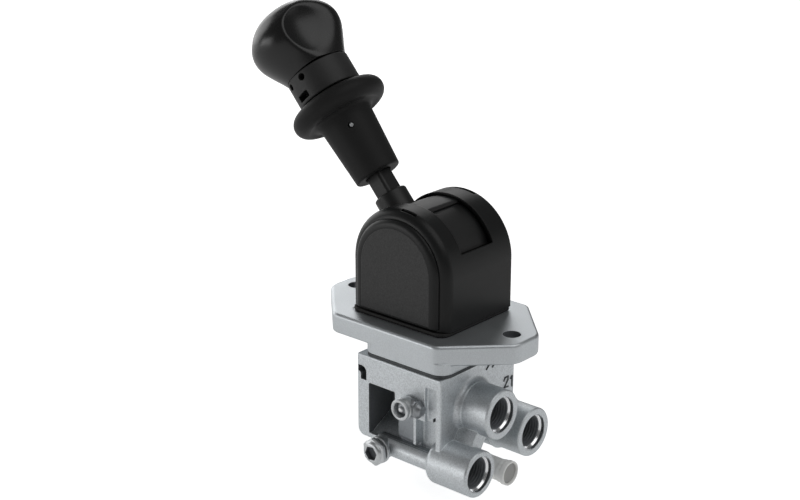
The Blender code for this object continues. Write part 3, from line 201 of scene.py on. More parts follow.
# One finish: a constant goes straight to the shader, and nodes come in where it varies.
def finish(name, color, metallic, roughness, fine=2600.0, broad=60.0, bump=0.0, bumpSize=0.00008,
           speck=0.0, cloud=0.0, edge=0.0, edgeRadius=0.0006, roughSpread=0.0, coat=0.0,
           coatRoughness=0.1, specular=0.5):
    slot = bpy.data.materials.new(name)
    slot.use_nodes = True
    tree = slot.node_tree
    shader = tree.nodes["Principled BSDF"]
    shader.inputs["Metallic"].default_value = metallic
    shader.inputs["Specular IOR Level"].default_value = specular
    shader.inputs["Coat Weight"].default_value = coat
    shader.inputs["Coat Roughness"].default_value = coatRoughness
    grain = tree.nodes.new("ShaderNodeGroup")
    grain.node_tree = grainGroup
    grain.inputs["Fine"].default_value = fine
    grain.inputs["Broad"].default_value = broad
    wearAndHighlight = tree.nodes.new("ShaderNodeGroup")
    wearAndHighlight.node_tree = edgeGroup
    wearAndHighlight.inputs["Radius"].default_value = edgeRadius
    tone = color
    # Cloud and speck are random grain; the edge term lightens rounded edges, partly as rubbed wear
    # and partly as a painted highlight.
    for amount, factor, low in ((cloud, grain.outputs["Cloud"], 1.0 - cloud),
                                (speck, grain.outputs["Speck"], 1.0 - speck),
                                (edge, wearAndHighlight.outputs["Edge"], 1.0)):
        if amount > 0.0:
            tone = mixTone(tree, tone, factor, low, 1.0 + amount)
    if isinstance(tone, tuple):
        shader.inputs["Base Color"].default_value = (*tone, 1.0)
    else:
        tree.links.new(tone, shader.inputs["Base Color"])
    shader.inputs["Roughness"].default_value = roughness
    if roughSpread > 0.0:
        uneven = stretch(tree, grain.outputs["Cloud"], roughness - roughSpread,
                         roughness + roughSpread)
        tree.links.new(uneven, shader.inputs["Roughness"])
    facing = wearAndHighlight.outputs["Normal"]
    if bump > 0.0:
        relief = tree.nodes.new("ShaderNodeBump")
        relief.inputs["Strength"].default_value = bump
        relief.inputs["Distance"].default_value = bumpSize
        tree.links.new(grain.outputs["Height"], relief.inputs["Height"])
        tree.links.new(facing, relief.inputs["Normal"])
        facing = relief.outputs["Normal"]
    tree.links.new(facing, shader.inputs["Normal"])
    return slot


finishes = {
    "cast_aluminium": finish("cast_aluminium", (0.65, 0.68, 0.70), 0.95, 0.47, fine=1500.0,
                             bump=0.9, speck=0.42, cloud=0.05, edge=0.5, edgeRadius=0.0007,
                             roughSpread=0.05),
    "blasted_aluminium": finish("blasted_aluminium", (0.60, 0.63, 0.65), 0.9, 0.42,
                                fine=1900.0, bump=0.4, speck=0.2, cloud=0.04, edge=0.5,
                                edgeRadius=0.0007, roughSpread=0.05),
    "bracket_steel": finish("bracket_steel", (0.30, 0.31, 0.32), 0.9, 0.4, bump=0.1, speck=0.08,
                            cloud=0.05),
    "zinc_steel": finish("zinc_steel", (0.64, 0.66, 0.67), 0.8, 0.34, bump=0.1, speck=0.1,
                         cloud=0.1, edge=0.3),
    "ground_steel": finish("ground_steel", (0.80, 0.81, 0.82), 1.0, 0.3, bump=0.05, speck=0.05,
                           cloud=0.05),
    "brass": finish("brass", (0.62, 0.47, 0.22), 1.0, 0.35, bump=0.05, cloud=0.05),
    "cap_black": finish("cap_black", (0.011, 0.0115, 0.0115), 0.0, 0.36, fine=3200.0, bump=0.15,
                        speck=0.1, cloud=0.05, edge=0.3, roughSpread=0.04, specular=0.25),
    "cover_black": finish("cover_black", (0.026, 0.026, 0.026), 0.0, 0.6, fine=1500.0, bump=1.0,
                          speck=0.9, cloud=0.05, edge=0.2),
    "leaf_black": finish("leaf_black", (0.010, 0.0103, 0.0103), 0.0, 0.45, fine=3200.0, bump=0.1,
                         speck=0.1, cloud=0.05),
    "knob_black": finish("knob_black", (0.0068, 0.0068, 0.0068), 0.0, 0.27, fine=3200.0, bump=0.03,
                         cloud=0.05, roughSpread=0.03),
    "collar_black": finish("collar_black", (0.026, 0.026, 0.026), 0.0, 0.5, fine=3200.0,
                           bump=0.12, speck=0.1, cloud=0.05, roughSpread=0.04, specular=0.35),
    "ring_black": finish("ring_black", (0.020, 0.020, 0.020), 0.0, 0.5, fine=3200.0, bump=0.12,
                         speck=0.1, cloud=0.05, roughSpread=0.04, specular=0.12),
    "rod_black": finish("rod_black", (0.0075, 0.0075, 0.0075), 0.1, 0.45, bump=0.15, speck=0.1,
                        cloud=0.1, roughSpread=0.05),
    "rubber_black": finish("rubber_black", (0.012, 0.012, 0.012), 0.0, 0.7, bump=0.2, speck=0.1),
    "stub_plastic": finish("stub_plastic", (0.95, 0.95, 0.93), 0.0, 0.4, bump=0.1, speck=0.05,
                           cloud=0.03),
    "insert_plastic": finish("insert_plastic", (0.40, 0.40, 0.39), 0.0, 0.6, bump=0.1, speck=0.1,
                             cloud=0.05),
}
gasketGrey = finish("gasket_grey", (0.075, 0.082, 0.086), 0.0, 0.75, fine=1700.0, bump=0.4,
                    speck=0.4)
# Darker copy of cast aluminium, used as painted shade inside hollows, port bores, the flange hole
# walls and the plug socket.
castPaintedShade = finish("cast_painted_shade", (0.14, 0.15, 0.16), 0.2, 0.6, fine=1500.0, bump=0.4,
                   speck=0.3, cloud=0.05)
# Less dark copy of cast aluminium, used as a lighter painted shade on the middle pocket floor and
# the low slot.
castSoftPaintedShade = finish("cast_soft_painted_shade", (0.34, 0.36, 0.38), 0.85, 0.5, fine=1500.0, bump=0.6, speck=0.3,
                 cloud=0.05)
mouthBright = finish("mouth_bright", (0.93, 0.94, 0.95), 1.0, 0.2, edgeRadius=0.0001)
markGrey = finish("mark_grey", (0.10, 0.11, 0.115), 0.3, 0.6, bump=0.1)
nippleGrey = finish("nipple_grey", (0.34, 0.355, 0.37), 0.75, 0.36, fine=1900.0, bump=0.2,
                    speck=0.2, cloud=0.1, edge=1.5)

slotOf = {entry["node"]: entry["material_slot"] for entry in frame["record"]["subparts"]}
for nodeName, item in nodes.items():
    item.data.materials.clear()
    item.data.materials.append(finishes[slotOf[nodeName]])
say("finishes")


# Outlines
def arc(centre, radius, start, end, steps):
    spots = []
    for step in range(steps + 1):
        turn = math.radians(start + (end - start) * step / steps)
        spots.append((centre[0] + radius * math.cos(turn), centre[1] + radius * math.sin(turn)))
    return spots


# A path through (first, second, radius) corners, each corner turned into an arc.
def rounded(corners, closed=True, steps=6):
    spots = []
    count = len(corners)
    for place, (first, second, radius) in enumerate(corners):
        here = Vector((first, second))
        if radius == 0.0 or (not closed and place in (0, count - 1)):
            spots.append((first, second))
            continue
        before = (Vector(corners[place - 1][:2]) - here).normalized()
        after = (Vector(corners[(place + 1) % count][:2]) - here).normalized()
        half = before.angle(after) * 0.5
        centre = here + (before + after).normalized() * (radius / math.sin(half))
        firstSpoke = here + before * (radius / math.tan(half)) - centre
        lastSpoke = here + after * (radius / math.tan(half)) - centre
        total = firstSpoke.angle_signed(lastSpoke)
        for step in range(steps + 1):
            spoke = firstSpoke.copy()
            spoke.rotate(Matrix.Rotation(-total * step / steps, 2))
            spots.append(tuple(centre + spoke))
    return spots


# A box seen from above, with a radius for each corner from the front left one round.
def boxOutline(left, right, front, back, corners, steps=6):
    spots = ((left, front), (right, front), (right, back), (left, back))
    return rounded([(*spot, corner) for spot, corner in zip(spots, corners)], steps=steps)


# Points on a smooth curve through the given ones.
def smoothPath(points, steps):
    spots = [Vector(point) for point in points]
    line = [spots[0]]
    for place in range(len(spots) - 1):
        here, there = spots[place], spots[place + 1]
        before = spots[max(place - 1, 0)]
        after = spots[min(place + 2, len(spots) - 1)]
        for step in range(1, steps + 1):
            t = step / steps
            line.append(0.5 * (2.0 * here + (there - before) * t
                               + (2.0 * before - 5.0 * here + 4.0 * there - after) * t ** 2
                               + (3.0 * here - before - 3.0 * there + after) * t ** 3))
    return line


# Solids in progress, in millimetres
still = Matrix.Identity(4)
alongX = Matrix.Rotation(math.radians(90.0), 4, "Y")
alongFront = Matrix.Rotation(math.radians(90.0), 4, "X")


def clean(work):
    bmesh.ops.remove_doubles(work, verts=work.verts, dist=0.0004)
    bmesh.ops.recalc_face_normals(work, faces=work.faces)
    return work


def revolve(profile, steps=96, closed=False, place=still):
    work = bmesh.new()
    ring = [work.verts.new((radius, 0.0, height)) for radius, height in profile]
    pairs = list(zip(ring, ring[1:]))
    if closed:
        pairs.append((ring[-1], ring[0]))
    lines = [work.edges.new(pair) for pair in pairs]
    bmesh.ops.spin(work, geom=ring + lines, axis=(0, 0, 1), cent=(0, 0, 0),
                   angle=math.radians(360.0), steps=steps, use_merge=True)
    clean(work)
    work.transform(place)
    return work


# An outline in X and Y that is raised, or one in X and Z that is carried towards the back.
def prism(outline, low, high, upright=False, place=still):
    work = bmesh.new()
    for first, second in outline:
        work.verts.new((first, low, second) if upright else (first, second, low))
    made = bmesh.ops.extrude_face_region(work, geom=[work.faces.new(work.verts)])
    top = [item for item in made["geom"] if isinstance(item, bmesh.types.BMVert)]
    move = (0.0, high - low, 0.0) if upright else (0.0, 0.0, high - low)
    bmesh.ops.translate(work, vec=move, verts=top)
    clean(work)
    work.transform(place)
    return work


def block(low, high, place=still):
    work = bmesh.new()
    bmesh.ops.create_cube(work, size=1.0)
    bmesh.ops.scale(work, vec=[high[i] - low[i] for i in range(3)], verts=work.verts)
    bmesh.ops.translate(work, vec=[(high[i] + low[i]) * 0.5 for i in range(3)], verts=work.verts)
    work.transform(place)
    return work


# Closed rings of points bridged into a skin, with both ends filled.
def loft(rings):
    work = bmesh.new()
    loops = []
    for ring in rings:
        verts = [work.verts.new(spot) for spot in ring]
        loops.append([work.edges.new((verts[place - 1], verts[place]))
                      for place in range(len(verts))])
    for first, second in zip(loops, loops[1:]):
        bmesh.ops.bridge_loops(work, edges=first + second)
    for loop in (loops[0], loops[-1]):
        bmesh.ops.contextual_create(work, geom=loop)
    return clean(work)


def rod(axis, start, end, across, radius, steps=48, place=still):
    spots = {"X": ((start, across[0], across[1]), alongX),
             "Y": ((across[0], end, across[1]), alongFront),
             "Z": ((across[0], across[1], start), still)}
    spot, turn = spots[axis]
    profile = [(0.0, 0.0), (radius, 0.0), (radius, end - start), (0.0, end - start)]
    return revolve(profile, steps, place=place @ Matrix.Translation(spot) @ turn)


def rough(work):
    mesh = bpy.data.meshes.new("rough")
    work.to_mesh(mesh)
    work.free()
    return added("rough", mesh)


def settle(item):
    graph = bpy.context.evaluated_depsgraph_get()
    mesh = bpy.data.meshes.new_from_object(item.evaluated_get(graph))
    old = item.data
    item.modifiers.clear()
    item.data = mesh
    bpy.data.meshes.remove(old)
    return item


def combine(item, operation, works):
    tools = [rough(work) for work in works]
    for tool in tools:
        step = item.modifiers.new("step", "BOOLEAN")
        step.operation = operation
        step.solver = "EXACT"
        step.object = tool
    settle(item)
    for tool in tools:
        old = tool.data
        bpy.data.objects.remove(tool)
        bpy.data.meshes.remove(old)
    return item


def cut(item, *works):
    return combine(item, "DIFFERENCE", works)


def join(item, *works):
    return combine(item, "UNION", works)


def soften(item, width, segments=3, angle=35.0):
    bevel = item.modifiers.new("soften", "BEVEL")
    bevel.width = width
    bevel.segments = segments
    bevel.limit_method = "ANGLE"
    bevel.angle_limit = math.radians(angle)
    return settle(item)


def softBlock(low, high, width, segments):
    item = soften(rough(block(low, high)), width, segments)
    work = bmesh.new()
    work.from_mesh(item.data)
    bpy.data.objects.remove(item)
    return work


# A finished piece: in the shared frame, in metres, riding on its body.
def piece(name, item, slot, body, replaced=(), place=basePlace, sharp=32.0, paint=None,
          more=()):
    if isinstance(item, bmesh.types.BMesh):
        item = rough(item)
    item.name = name
    item.data.name = name
    item.data.transform(Matrix.Diagonal((mm, mm, mm, 1.0)) @ place)
    marks = [face.material_index for face in item.data.polygons] if more else []
    item.data.materials.clear()
    for coat in [finishes[slot] if paint is None else paint, *more]:
        item.data.materials.append(coat)
    for face, mark in zip(item.data.polygons, marks):
        face.material_index = mark
    item.data.shade_smooth()
    item.data.set_sharp_from_angle(angle=math.radians(sharp))
    even = item.modifiers.new("even", "WEIGHTED_NORMAL")
    even.keep_sharp = True
    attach(item, body)
    if replaced:
        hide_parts(*replaced)
    return item


# Knob head: a leaning turned bulb whose front is hollowed by a ball. The crease around the
# hollow is narrow in front and fades towards the back.
knob = {"bottom": 107.1, "radius": 23.5, "height": 34.9, "lean": -4.0, "spoonRadius": 31.0,
        "spoonReach": 45.0, "spoonHeight": 13.2, "spoonTurn": -18.0, "crease": 1.8, "fade": 8.0,
        "fadeStart": -40.0, "fadeSpan": 60.0, "bore": 7.47, "top": 126.3, "around": 168}
knobProfile = ((0.0, 1.0), (0.19, 0.996), (0.362, 0.98), (0.596, 0.932), (0.762, 0.856),
               (0.872, 0.771), (0.953, 0.686), (0.996, 0.595), (1.0, 0.51), (0.97, 0.408),
               (0.889, 0.283), (0.774, 0.133), (0.68, 0.0))


def makeKnob():
    line = smoothPath([(radius * knob["radius"], height * knob["height"])
                       for radius, height in knobProfile], 6)
    line = [(max(spot.x, 0.0), spot.y) for spot in line]
    work = revolve(line, knob["around"])
    work.transform(Matrix.Translation((0.0, 0.0, knob["bottom"]))
                   @ Matrix.Rotation(math.radians(knob["lean"]), 4, "Y"))
    turn = math.radians(knob["spoonTurn"])
    ball = Vector((knob["spoonReach"] * math.cos(turn), knob["spoonReach"] * math.sin(turn),
                   knob["bottom"] + knob["spoonHeight"]))
    for vert in work.verts:
        away = vert.co - ball
        around = math.degrees(math.atan2(vert.co.y, vert.co.x)) - knob["fadeStart"]
        around = min(max(around / knob["fadeSpan"], 0.0), 1.0)
        wide = knob["crease"] + knob["fade"] * around * around * (3.0 - 2.0 * around)
        gap = abs(away.length - knob["spoonRadius"])
        ease = max(wide - gap, 0.0) ** 2 / (4.0 * wide)
        vert.co = ball + away.normalized() * (max(away.length, knob["spoonRadius"]) + ease)
        vert.co.z = max(vert.co.z, knob["bottom"])
    edges = [edge for edge in work.edges if edge.is_boundary]
    bmesh.ops.contextual_create(work, geom=edges)
    item = rough(clean(work))
    cut(item, rod("Z", knob["bottom"] - 4.0, knob["top"], (0.0, 0.0), knob["bore"]))
    piece("knob", item, "knob_black", "lever", ["knob_head"], basePlace @ stemTurn, 40.0)


# Collar under the knob, with two small holes above a slot
collar = {"bottom": 92.7, "top": 107.0, "radius": 16.3, "bore": knob["bore"], "edge": 0.5,
          "face": -94.0, "spread": 18.0, "hole": 1.75, "holeDown": 2.8, "slotHalf": 3.8,
          "slotHigh": 3.4}


def radialPlace(reach, height, turn):
    return Matrix.Rotation(turn, 4, "Z") @ Matrix.Translation((reach, 0.0, height)) @ alongX


def makeCollar():
    wall = collar["radius"]
    profile = rounded([(collar["bore"], collar["top"], 0.0), (wall, collar["top"], collar["edge"]),
                       (wall, collar["bottom"], 0.7), (collar["bore"], collar["bottom"], 0.0)],
                      steps=4)
    item = rough(revolve(profile, 128, closed=True))
    face = math.radians(collar["face"])
    high = collar["top"] - collar["holeDown"]
    for side in (-1, 1):
        spoke = radialPlace(wall, high, face + side * math.radians(collar["spread"]))
        cut(item, rod("Z", -5.0, 2.0, (0.0, 0.0), collar["hole"], 32, spoke))
    spoke = radialPlace(wall, collar["bottom"] + collar["slotHigh"], face)
    slot = softBlock((-1.7, -collar["slotHalf"], -5.5), (1.7, collar["slotHalf"], 3.0), 0.5, 3)
    slot.transform(spoke)
    cut(item, slot)
    piece("collar", item, "collar_black", "lever", ["knob_collar"], basePlace @ stemTurn, 30.0)


# Lift ring: a thick rounded disc on a tapered sleeve
ring = {"disc": 24.3, "half": 5.3, "middle": 85.7, "pocket": 17.0, "pocketFloor": 83.1,
        "sleeveBottom": 47.3, "sleeveTop": 77.5, "low": 11.5, "high": 13.4, "guide": 6.8,
        "bore": 9.7, "step": 52.3, "pinHeight": 72.0, "pinTurn": -42.0, "pinRadius": 1.0}


def makeRing():
    rim = ring["disc"] - ring["half"]
    top = ring["middle"] + ring["half"]
    bottom = ring["middle"] - ring["half"]
    edge = [(rim + ring["half"] * math.cos(math.radians(turn)),
             ring["middle"] + ring["half"] * math.sin(math.radians(turn)))
            for turn in range(90, -91, -9)]
    neck = smoothPath([edge[-1], (rim - 2.4, bottom + 0.4), (ring["high"] + 1.0,
                       ring["sleeveTop"] + 2.2), (ring["high"], ring["sleeveTop"] - 1.0)], 6)
    foot = rounded([(ring["high"], ring["sleeveTop"] - 1.4, 0.0),
                    (ring["low"], ring["sleeveBottom"], 1.0),
                    (ring["guide"], ring["sleeveBottom"], 0.4), (ring["guide"], ring["step"], 0.0),
                    (ring["bore"], ring["step"], 0.0), (ring["bore"], ring["pocketFloor"], 0.0),
                    (ring["pocket"], ring["pocketFloor"], 0.5), (ring["pocket"], top, 0.0)],
                   False)
    profile = [(ring["pocket"] + 0.3, top)] + edge + [tuple(spot) for spot in neck[1:]] + foot
    item = rough(revolve(profile, 144, closed=True))
    spoke = radialPlace(ring["bore"] + 2.3, ring["pinHeight"], math.radians(ring["pinTurn"]))
    cut(item, rod("Z", -4.0, 4.0, (0.0, -0.5), ring["pinRadius"] + 0.35, 32, spoke))
    piece("lift_ring_sleeve", item, "ring_black", "lift_ring_set", ["lift_ring"],
          basePlace @ stemTurn, 30.0)


# Lever: square stem with rounded edges, shoulder, and the hub and cam inside the cap
stem = {"half": 5.0, "corner": 2.0, "top": 126.0, "shoulder": 36.4, "shoulderRadius": 8.3,
        "hub": 8.6, "hubHalf": 8.0, "eye": 4.8, "camBase": 9.4, "camTravel": 6.0,
        "camHalf": 6.0, "swing": 78.0}


def makeStem():
    half = stem["half"]
    square = boxOutline(-half, half, -half, half, [stem["corner"]] * 4)
    shift = Matrix.Translation((lever["stem"], 0.0, 0.0))
    item = rough(prism(square, stem["shoulder"] - 3.0, stem["top"], place=shift))
    shoulder = rounded([(0.0, 0.0, 0.0), (stem["shoulderRadius"], 0.0, 0.0),
                        (stem["shoulderRadius"], stem["shoulder"], 0.9),
                        (0.0, stem["shoulder"], 0.0)], False, 4)
    level = Matrix.Rotation(math.radians(-lever["tilt"]), 4, "Y")
    rate = stem["camTravel"] / math.radians(stem["swing"])
    cam = [(-6.0, 3.0), (-6.0, 1.5 - stem["camBase"])]
    for step in range(25):
        turn = math.radians(stem["swing"] * step / 24)
        reach = stem["camBase"] + rate * turn
        down = turn - math.pi / 2
        cam.append((reach * math.cos(down) - rate * math.sin(down),
                    reach * math.sin(down) + rate * math.cos(down)))
    cam.append((9.0, 6.0))
    join(item, revolve(shoulder, 96, place=shift),
         rod("Y", -stem["hubHalf"], stem["hubHalf"], (0.0, 0.0), stem["hub"], 72),
         prism(cam, -stem["camHalf"], stem["camHalf"], True, level))
    cut(item, rod("Y", -10.0, 10.0, (0.0, 0.0), stem["eye"]))
    piece("lever_stem", item, "rod_black", "lever", ["lever_rod"], basePlace @ leverTurn, 30.0)


makeKnob()
makeCollar()
makeRing()
makeStem()
say("lever")


# Cap: an arch with a wide front rounding, a channel and a window for the two leaves
cap = {"radius": 28.5, "front": -23.7, "back": 24.4, "bottom": 2.0, "frontRound": 4.8,
       "backRound": 2.0, "wall": 4.1, "endWall": 2.8, "windowHalf": 11.3, "window": 68.6,
       "channelHalf": 12.9, "channel": 27.3, "grooveHalf": 0.8, "grooveDeep": 1.5,
       "grooves": ((-20.4, -1.0, 16.5), (21.6, -8.0, 16.0))}
# The shell, cover and seal are drawn round and then widened a little.
capPlace = basePlace @ Matrix.Diagonal((1.035, 1.015, 1.0, 1.0))
faceCover = {"radius": 24.2, "front": -26.0, "back": -24.0, "bottom": 3.2, "roundAcross": 4.0}


def archRing(radius, y, bottom, steps=72):
    sides = [(-radius, bottom)]
    sides += arc((0.0, lever["pivot"]), radius, 180.0, 0.0, steps)
    sides.append((radius, bottom))
    return [(x, y, z) for x, z in sides]


def archOutline(radius, bottom, steps=48):
    return [(x, z) for x, y, z in archRing(radius, 0.0, bottom, steps)]


# A ring sector about the lever axis; angles run from straight up towards the right.
def sector(inner, outer, left, right, steps=60):
    centre = (0.0, lever["pivot"])
    return (arc(centre, outer, 90.0 - left, 90.0 - right, steps)
            + arc(centre, inner, 90.0 - right, 90.0 - left, steps))


def makeCap():
    wide = cap["radius"]
    rings = []
    for turn in range(0, 91, 9):
        lean = math.radians(turn)
        rings.append((wide - cap["frontRound"] * (1.0 - math.sin(lean)),
                      cap["front"] + cap["frontRound"] * (1.0 - math.cos(lean))))
    for turn in range(0, 91, 15):
        lean = math.radians(turn)
        rings.append((wide - cap["backRound"] * (1.0 - math.cos(lean)),
                      cap["back"] - cap["backRound"] * (1.0 - math.sin(lean))))
    item = rough(loft([archRing(radius, y, cap["bottom"]) for radius, y in rings]))
    cut(item,
        prism(archOutline(wide - cap["wall"], -5.0), cap["front"] + cap["endWall"],
              cap["back"] - cap["endWall"], True),
        prism(archOutline(cap["channel"], -5.0), -cap["channelHalf"], cap["channelHalf"], True),
        prism(sector(wide - 8.5, wide + 7.5, -cap["window"], cap["window"]),
              -cap["windowHalf"], cap["windowHalf"], True))
    half, deep = cap["grooveHalf"], cap["grooveDeep"]
    for y, left, right in cap["grooves"]:
        groove = sector(wide - deep, wide + deep, left, right, 12)
        cut(item, prism(groove, y - half, y + half, True))
    piece("cap_shell", item, "cap_black", "housing", ["lever_cap"], capPlace, 30.0)


def makeFaceCover():
    rings = [(faceCover["radius"], faceCover["back"])]
    deep = faceCover["back"] - faceCover["front"]
    for turn in range(0, 91, 9):
        lean = math.radians(turn)
        rings.append((faceCover["radius"] - faceCover["roundAcross"] * (1.0 - math.cos(lean)),
                      faceCover["back"] - deep * math.sin(lean)))
    work = loft([archRing(radius, y, faceCover["bottom"]) for radius, y in rings])
    piece("front_cover", rough(work), "cover_black", "housing", ["cap_front_cover"], capPlace,
          30.0, paint=finishes["cap_black"])
    inner = faceCover["radius"] - faceCover["roundAcross"]
    rings = [(inner, faceCover["front"] + 0.4), (inner, faceCover["front"] - 0.02),
             (inner - 0.3, faceCover["front"] - 0.08)]
    work = loft([archRing(radius, y, faceCover["bottom"] + 0.8) for radius, y in rings])
    piece("front_panel", rough(work), "cover_black", "housing", place=capPlace, sharp=30.0)


# Two curved leaves under the window: the upper one rides on the lever, the lower follows
# at half its angle. Polar is where the stem crosses them.
leaf = {"half": 12.5, "outer": 27.0, "thick": 1.1, "thin": 0.7, "reach": 61.4, "polar": -47.2,
        "hole": 8.6, "lowerOuter": 25.5, "lowerThick": 1.0, "lowerReach": 93.5, "ratio": 0.5,
        "slotMargin": 21.4, "slotHalf": 9.0}


def makeLeaves():
    outer = leaf["outer"]
    start, end, thin = leaf["polar"] - leaf["reach"], leaf["polar"] + leaf["reach"], leaf["thin"]
    outline = ([arc((0.0, lever["pivot"]), outer - thin, 90.0 - start, 90.0 - start, 1)[0]]
               + arc((0.0, lever["pivot"]), outer, 87.0 - start, 93.0 - end, 60)
               + [arc((0.0, lever["pivot"]), outer - thin, 90.0 - end, 90.0 - end, 1)[0]]
               + arc((0.0, lever["pivot"]), outer - leaf["thick"], 90.0 - end, 90.0 - start, 60))
    item = rough(prism(outline, -leaf["half"], leaf["half"], True))
    cut(item, rod("Z", 15.0, 40.0, (0.0, 0.0), leaf["hole"], 72, stemTurn))
    piece("upper_leaf", item, "leaf_black", "lever", ["slot_cover"], sharp=30.0)
    outer = leaf["lowerOuter"]
    middle = leaf["polar"] * leaf["ratio"]
    item = rough(prism(sector(outer - leaf["lowerThick"], outer, middle - leaf["lowerReach"],
                              middle + leaf["lowerReach"]), -leaf["half"], leaf["half"], True))
    reach = stem["swing"] * (1.0 - leaf["ratio"])
    cut(item, prism(sector(outer - 5.5, outer + 4.5, leaf["polar"] - leaf["slotMargin"],
                           leaf["polar"] + reach + leaf["slotMargin"]),
                    -leaf["slotHalf"], leaf["slotHalf"], True))
    piece("lower_leaf", item, "leaf_black", "lower_leaf", ["slot_cover_lower"], sharp=30.0)


capSeal = {"side": 28.0, "front": -25.3, "back": 24.0, "corners": (5.0, 5.0, 2.0, 2.0),
           "thick": 1.7}


def makeCapGasket():
    outline = boxOutline(-capSeal["side"], capSeal["side"], capSeal["front"], capSeal["back"],
                         capSeal["corners"])
    item = rough(prism(outline, 0.0, capSeal["thick"]))
    inner = cap["radius"] - cap["wall"]
    cut(item, block((-inner, cap["front"] + cap["endWall"], -2.0),
                    (inner, cap["back"] - cap["endWall"], 4.0)))
    piece("cap_seal", soften(item, 0.4, 2), "rubber_black", "housing", ["cap_gasket"], capPlace)


makeCap()
makeFaceCover()
makeLeaves()
makeCapGasket()
say("cap")


# Flange: eight-sided plate with soft edges, and the neck under it
flange = {"halfX": 58.4, "halfY": 34.9, "chamfer": 26.8, "thick": 10.0, "endCorner": 9.0,
          "frontCorner": 6.0, "edge": 1.5, "holeX": 48.35, "hole": 4.2, "seat": 0.3,
          "neckLeft": -13.4, "neckRight": 36.6, "neckBack": 22.0, "neckBottom": -13.9,
          "neckCorner": 7.0, "screwX": 22.6, "screwY": (-17.0, 18.0), "screwHead": 3.5,
          "screw": 1.9, "tappetWay": 4.3}

# Four ways that run from the body through the gasket into the neck
passage = {"x": (-11.0, 18.0), "y": (-9.5, 9.5), "radius": 2.8, "bottom": -27.5}


def cutPassages(item, low, high):
    for x in passage["x"]:
        for y in passage["y"]:
            cut(item, rod("Z", low, high, (x, y), passage["radius"], 24))


def makeFlange():
    edge = flange["halfX"] - flange["chamfer"]
    side = flange["halfY"] - flange["chamfer"]
    corners = []
    for sx, sy, order in ((-1, -1, 0), (1, -1, 1), (1, 1, 0), (-1, 1, 1)):
        front = (sx * edge, sy * flange["halfY"], flange["frontCorner"])
        end = (sx * flange["halfX"], sy * side, flange["endCorner"])
        corners += [end, front] if order == 0 else [front, end]
    item = rough(prism(rounded(corners, steps=10), -flange["thick"], 0.0))
    soften(item, flange["edge"], 5, 60.0)
    neck = boxOutline(flange["neckLeft"], flange["neckRight"], 0.05 - flange["halfY"],
                      flange["neckBack"], [flange["neckCorner"]] * 4, 10)
    join(item, prism(neck, flange["neckBottom"], 1.5 - flange["thick"]))
    seatX = cap["radius"] + 0.8
    seat = boxOutline(-seatX, seatX, cap["front"] - 2.6, cap["back"] + 0.6, (5.2, 5.2, 2.4, 2.4))
    cut(item, prism(seat, -flange["seat"], 2.0),
        rod("Z", -20.0, 1.0, (0.0, 0.0), flange["tappetWay"]))
    for sx in (-1, 1):
        cut(item, rod("Z", -12.0, 1.0, (sx * flange["holeX"], 0.0), flange["hole"], 64))
        for y in flange["screwY"]:
            spot = (sx * flange["screwX"], y)
            cut(item, rod("Z", -20.0, -5.0, spot, flange["screwHead"], 32),
                rod("Z", -20.0, 1.0, spot, flange["screw"], 24))
    cutPassages(item, -20.0, 1.0)
    # The walls of the two bolt holes get painted shade.
    for face in item.data.polygons:
        x, y, z = face.center
        if math.hypot(abs(x) - flange["holeX"], y) < flange["hole"] - 0.005 and -8.5 < z < -0.5:
            face.material_index = 1
    piece("flange_plate", item, "blasted_aluminium", "housing", ["mounting_flange"], sharp=28.0,
          more=[castPaintedShade])


# Sheet between the body and the neck
sheet = {"left": -12.8, "right": 36.2, "front": -34.5, "back": 19.0, "gap": 0.02,
         "corners": (6.0, 7.0, 7.0, 7.0)}


def makeBodyGasket():
    outline = boxOutline(sheet["left"], sheet["right"], sheet["front"], sheet["back"],
                         sheet["corners"], 8)
    item = rough(prism(outline, body["top"] + sheet["gap"], flange["neckBottom"] - sheet["gap"]))
    cut(item, rod("Z", -20.0, -10.0, (0.0, 0.0), body["mainBore"], 48))
    cutPassages(item, -20.0, -10.0)
    piece("gasket_sheet", item, "rubber_black", "housing", ["body_gasket"], paint=gasketGrey)


makeFlange()
say("flange")


# Valve body
body = {"left": -16.0, "right": 35.4, "front": -34.9, "back": 20.0, "top": -15.9,
        "bottom": -58.0, "edge": 0.7, "corner": 4.0, "mainBore": 10.0, "mainBottom": -50.0}
ports = {"upper": {"y": -11.7, "z": -35.2, "radius": 12.0, "start": 20.0, "flare": 2.6,
                   "wayEnd": 5.0},
         "rear": {"y": 13.1, "z": -53.0, "radius": 12.0, "start": 26.0, "flare": 0.8,
                  "wayEnd": 24.0},
         "lower": {"y": -27.4, "z": -59.6, "radius": 11.2, "start": 24.5, "flare": 0.0,
                   "wayEnd": 29.0}}
port = {"end": 52.9, "bore": 7.3, "mouth": 8.7, "mouthDepth": 1.9, "depth": 14.0,
        "pitch": 1.5, "thread": 0.6, "way": 3.0}
web = {"x": 37.0, "long": 9.0, "half": 4.0}
tube = {"y": -32.0, "z": -59.2, "radius": 5.0, "left": -5.2, "way": 2.6, "wayY": -31.4,
        "wayZ": -59.43, "wayEnd": 38.1}
plug = {"x": 0.6, "z": -60.0, "boss": 5.6, "bossFront": -37.5, "bossBack": -30.0,
        "hole": 3.5, "washer": 6.6, "hex": 7.3, "turn": 158.0, "dome": 5.7}
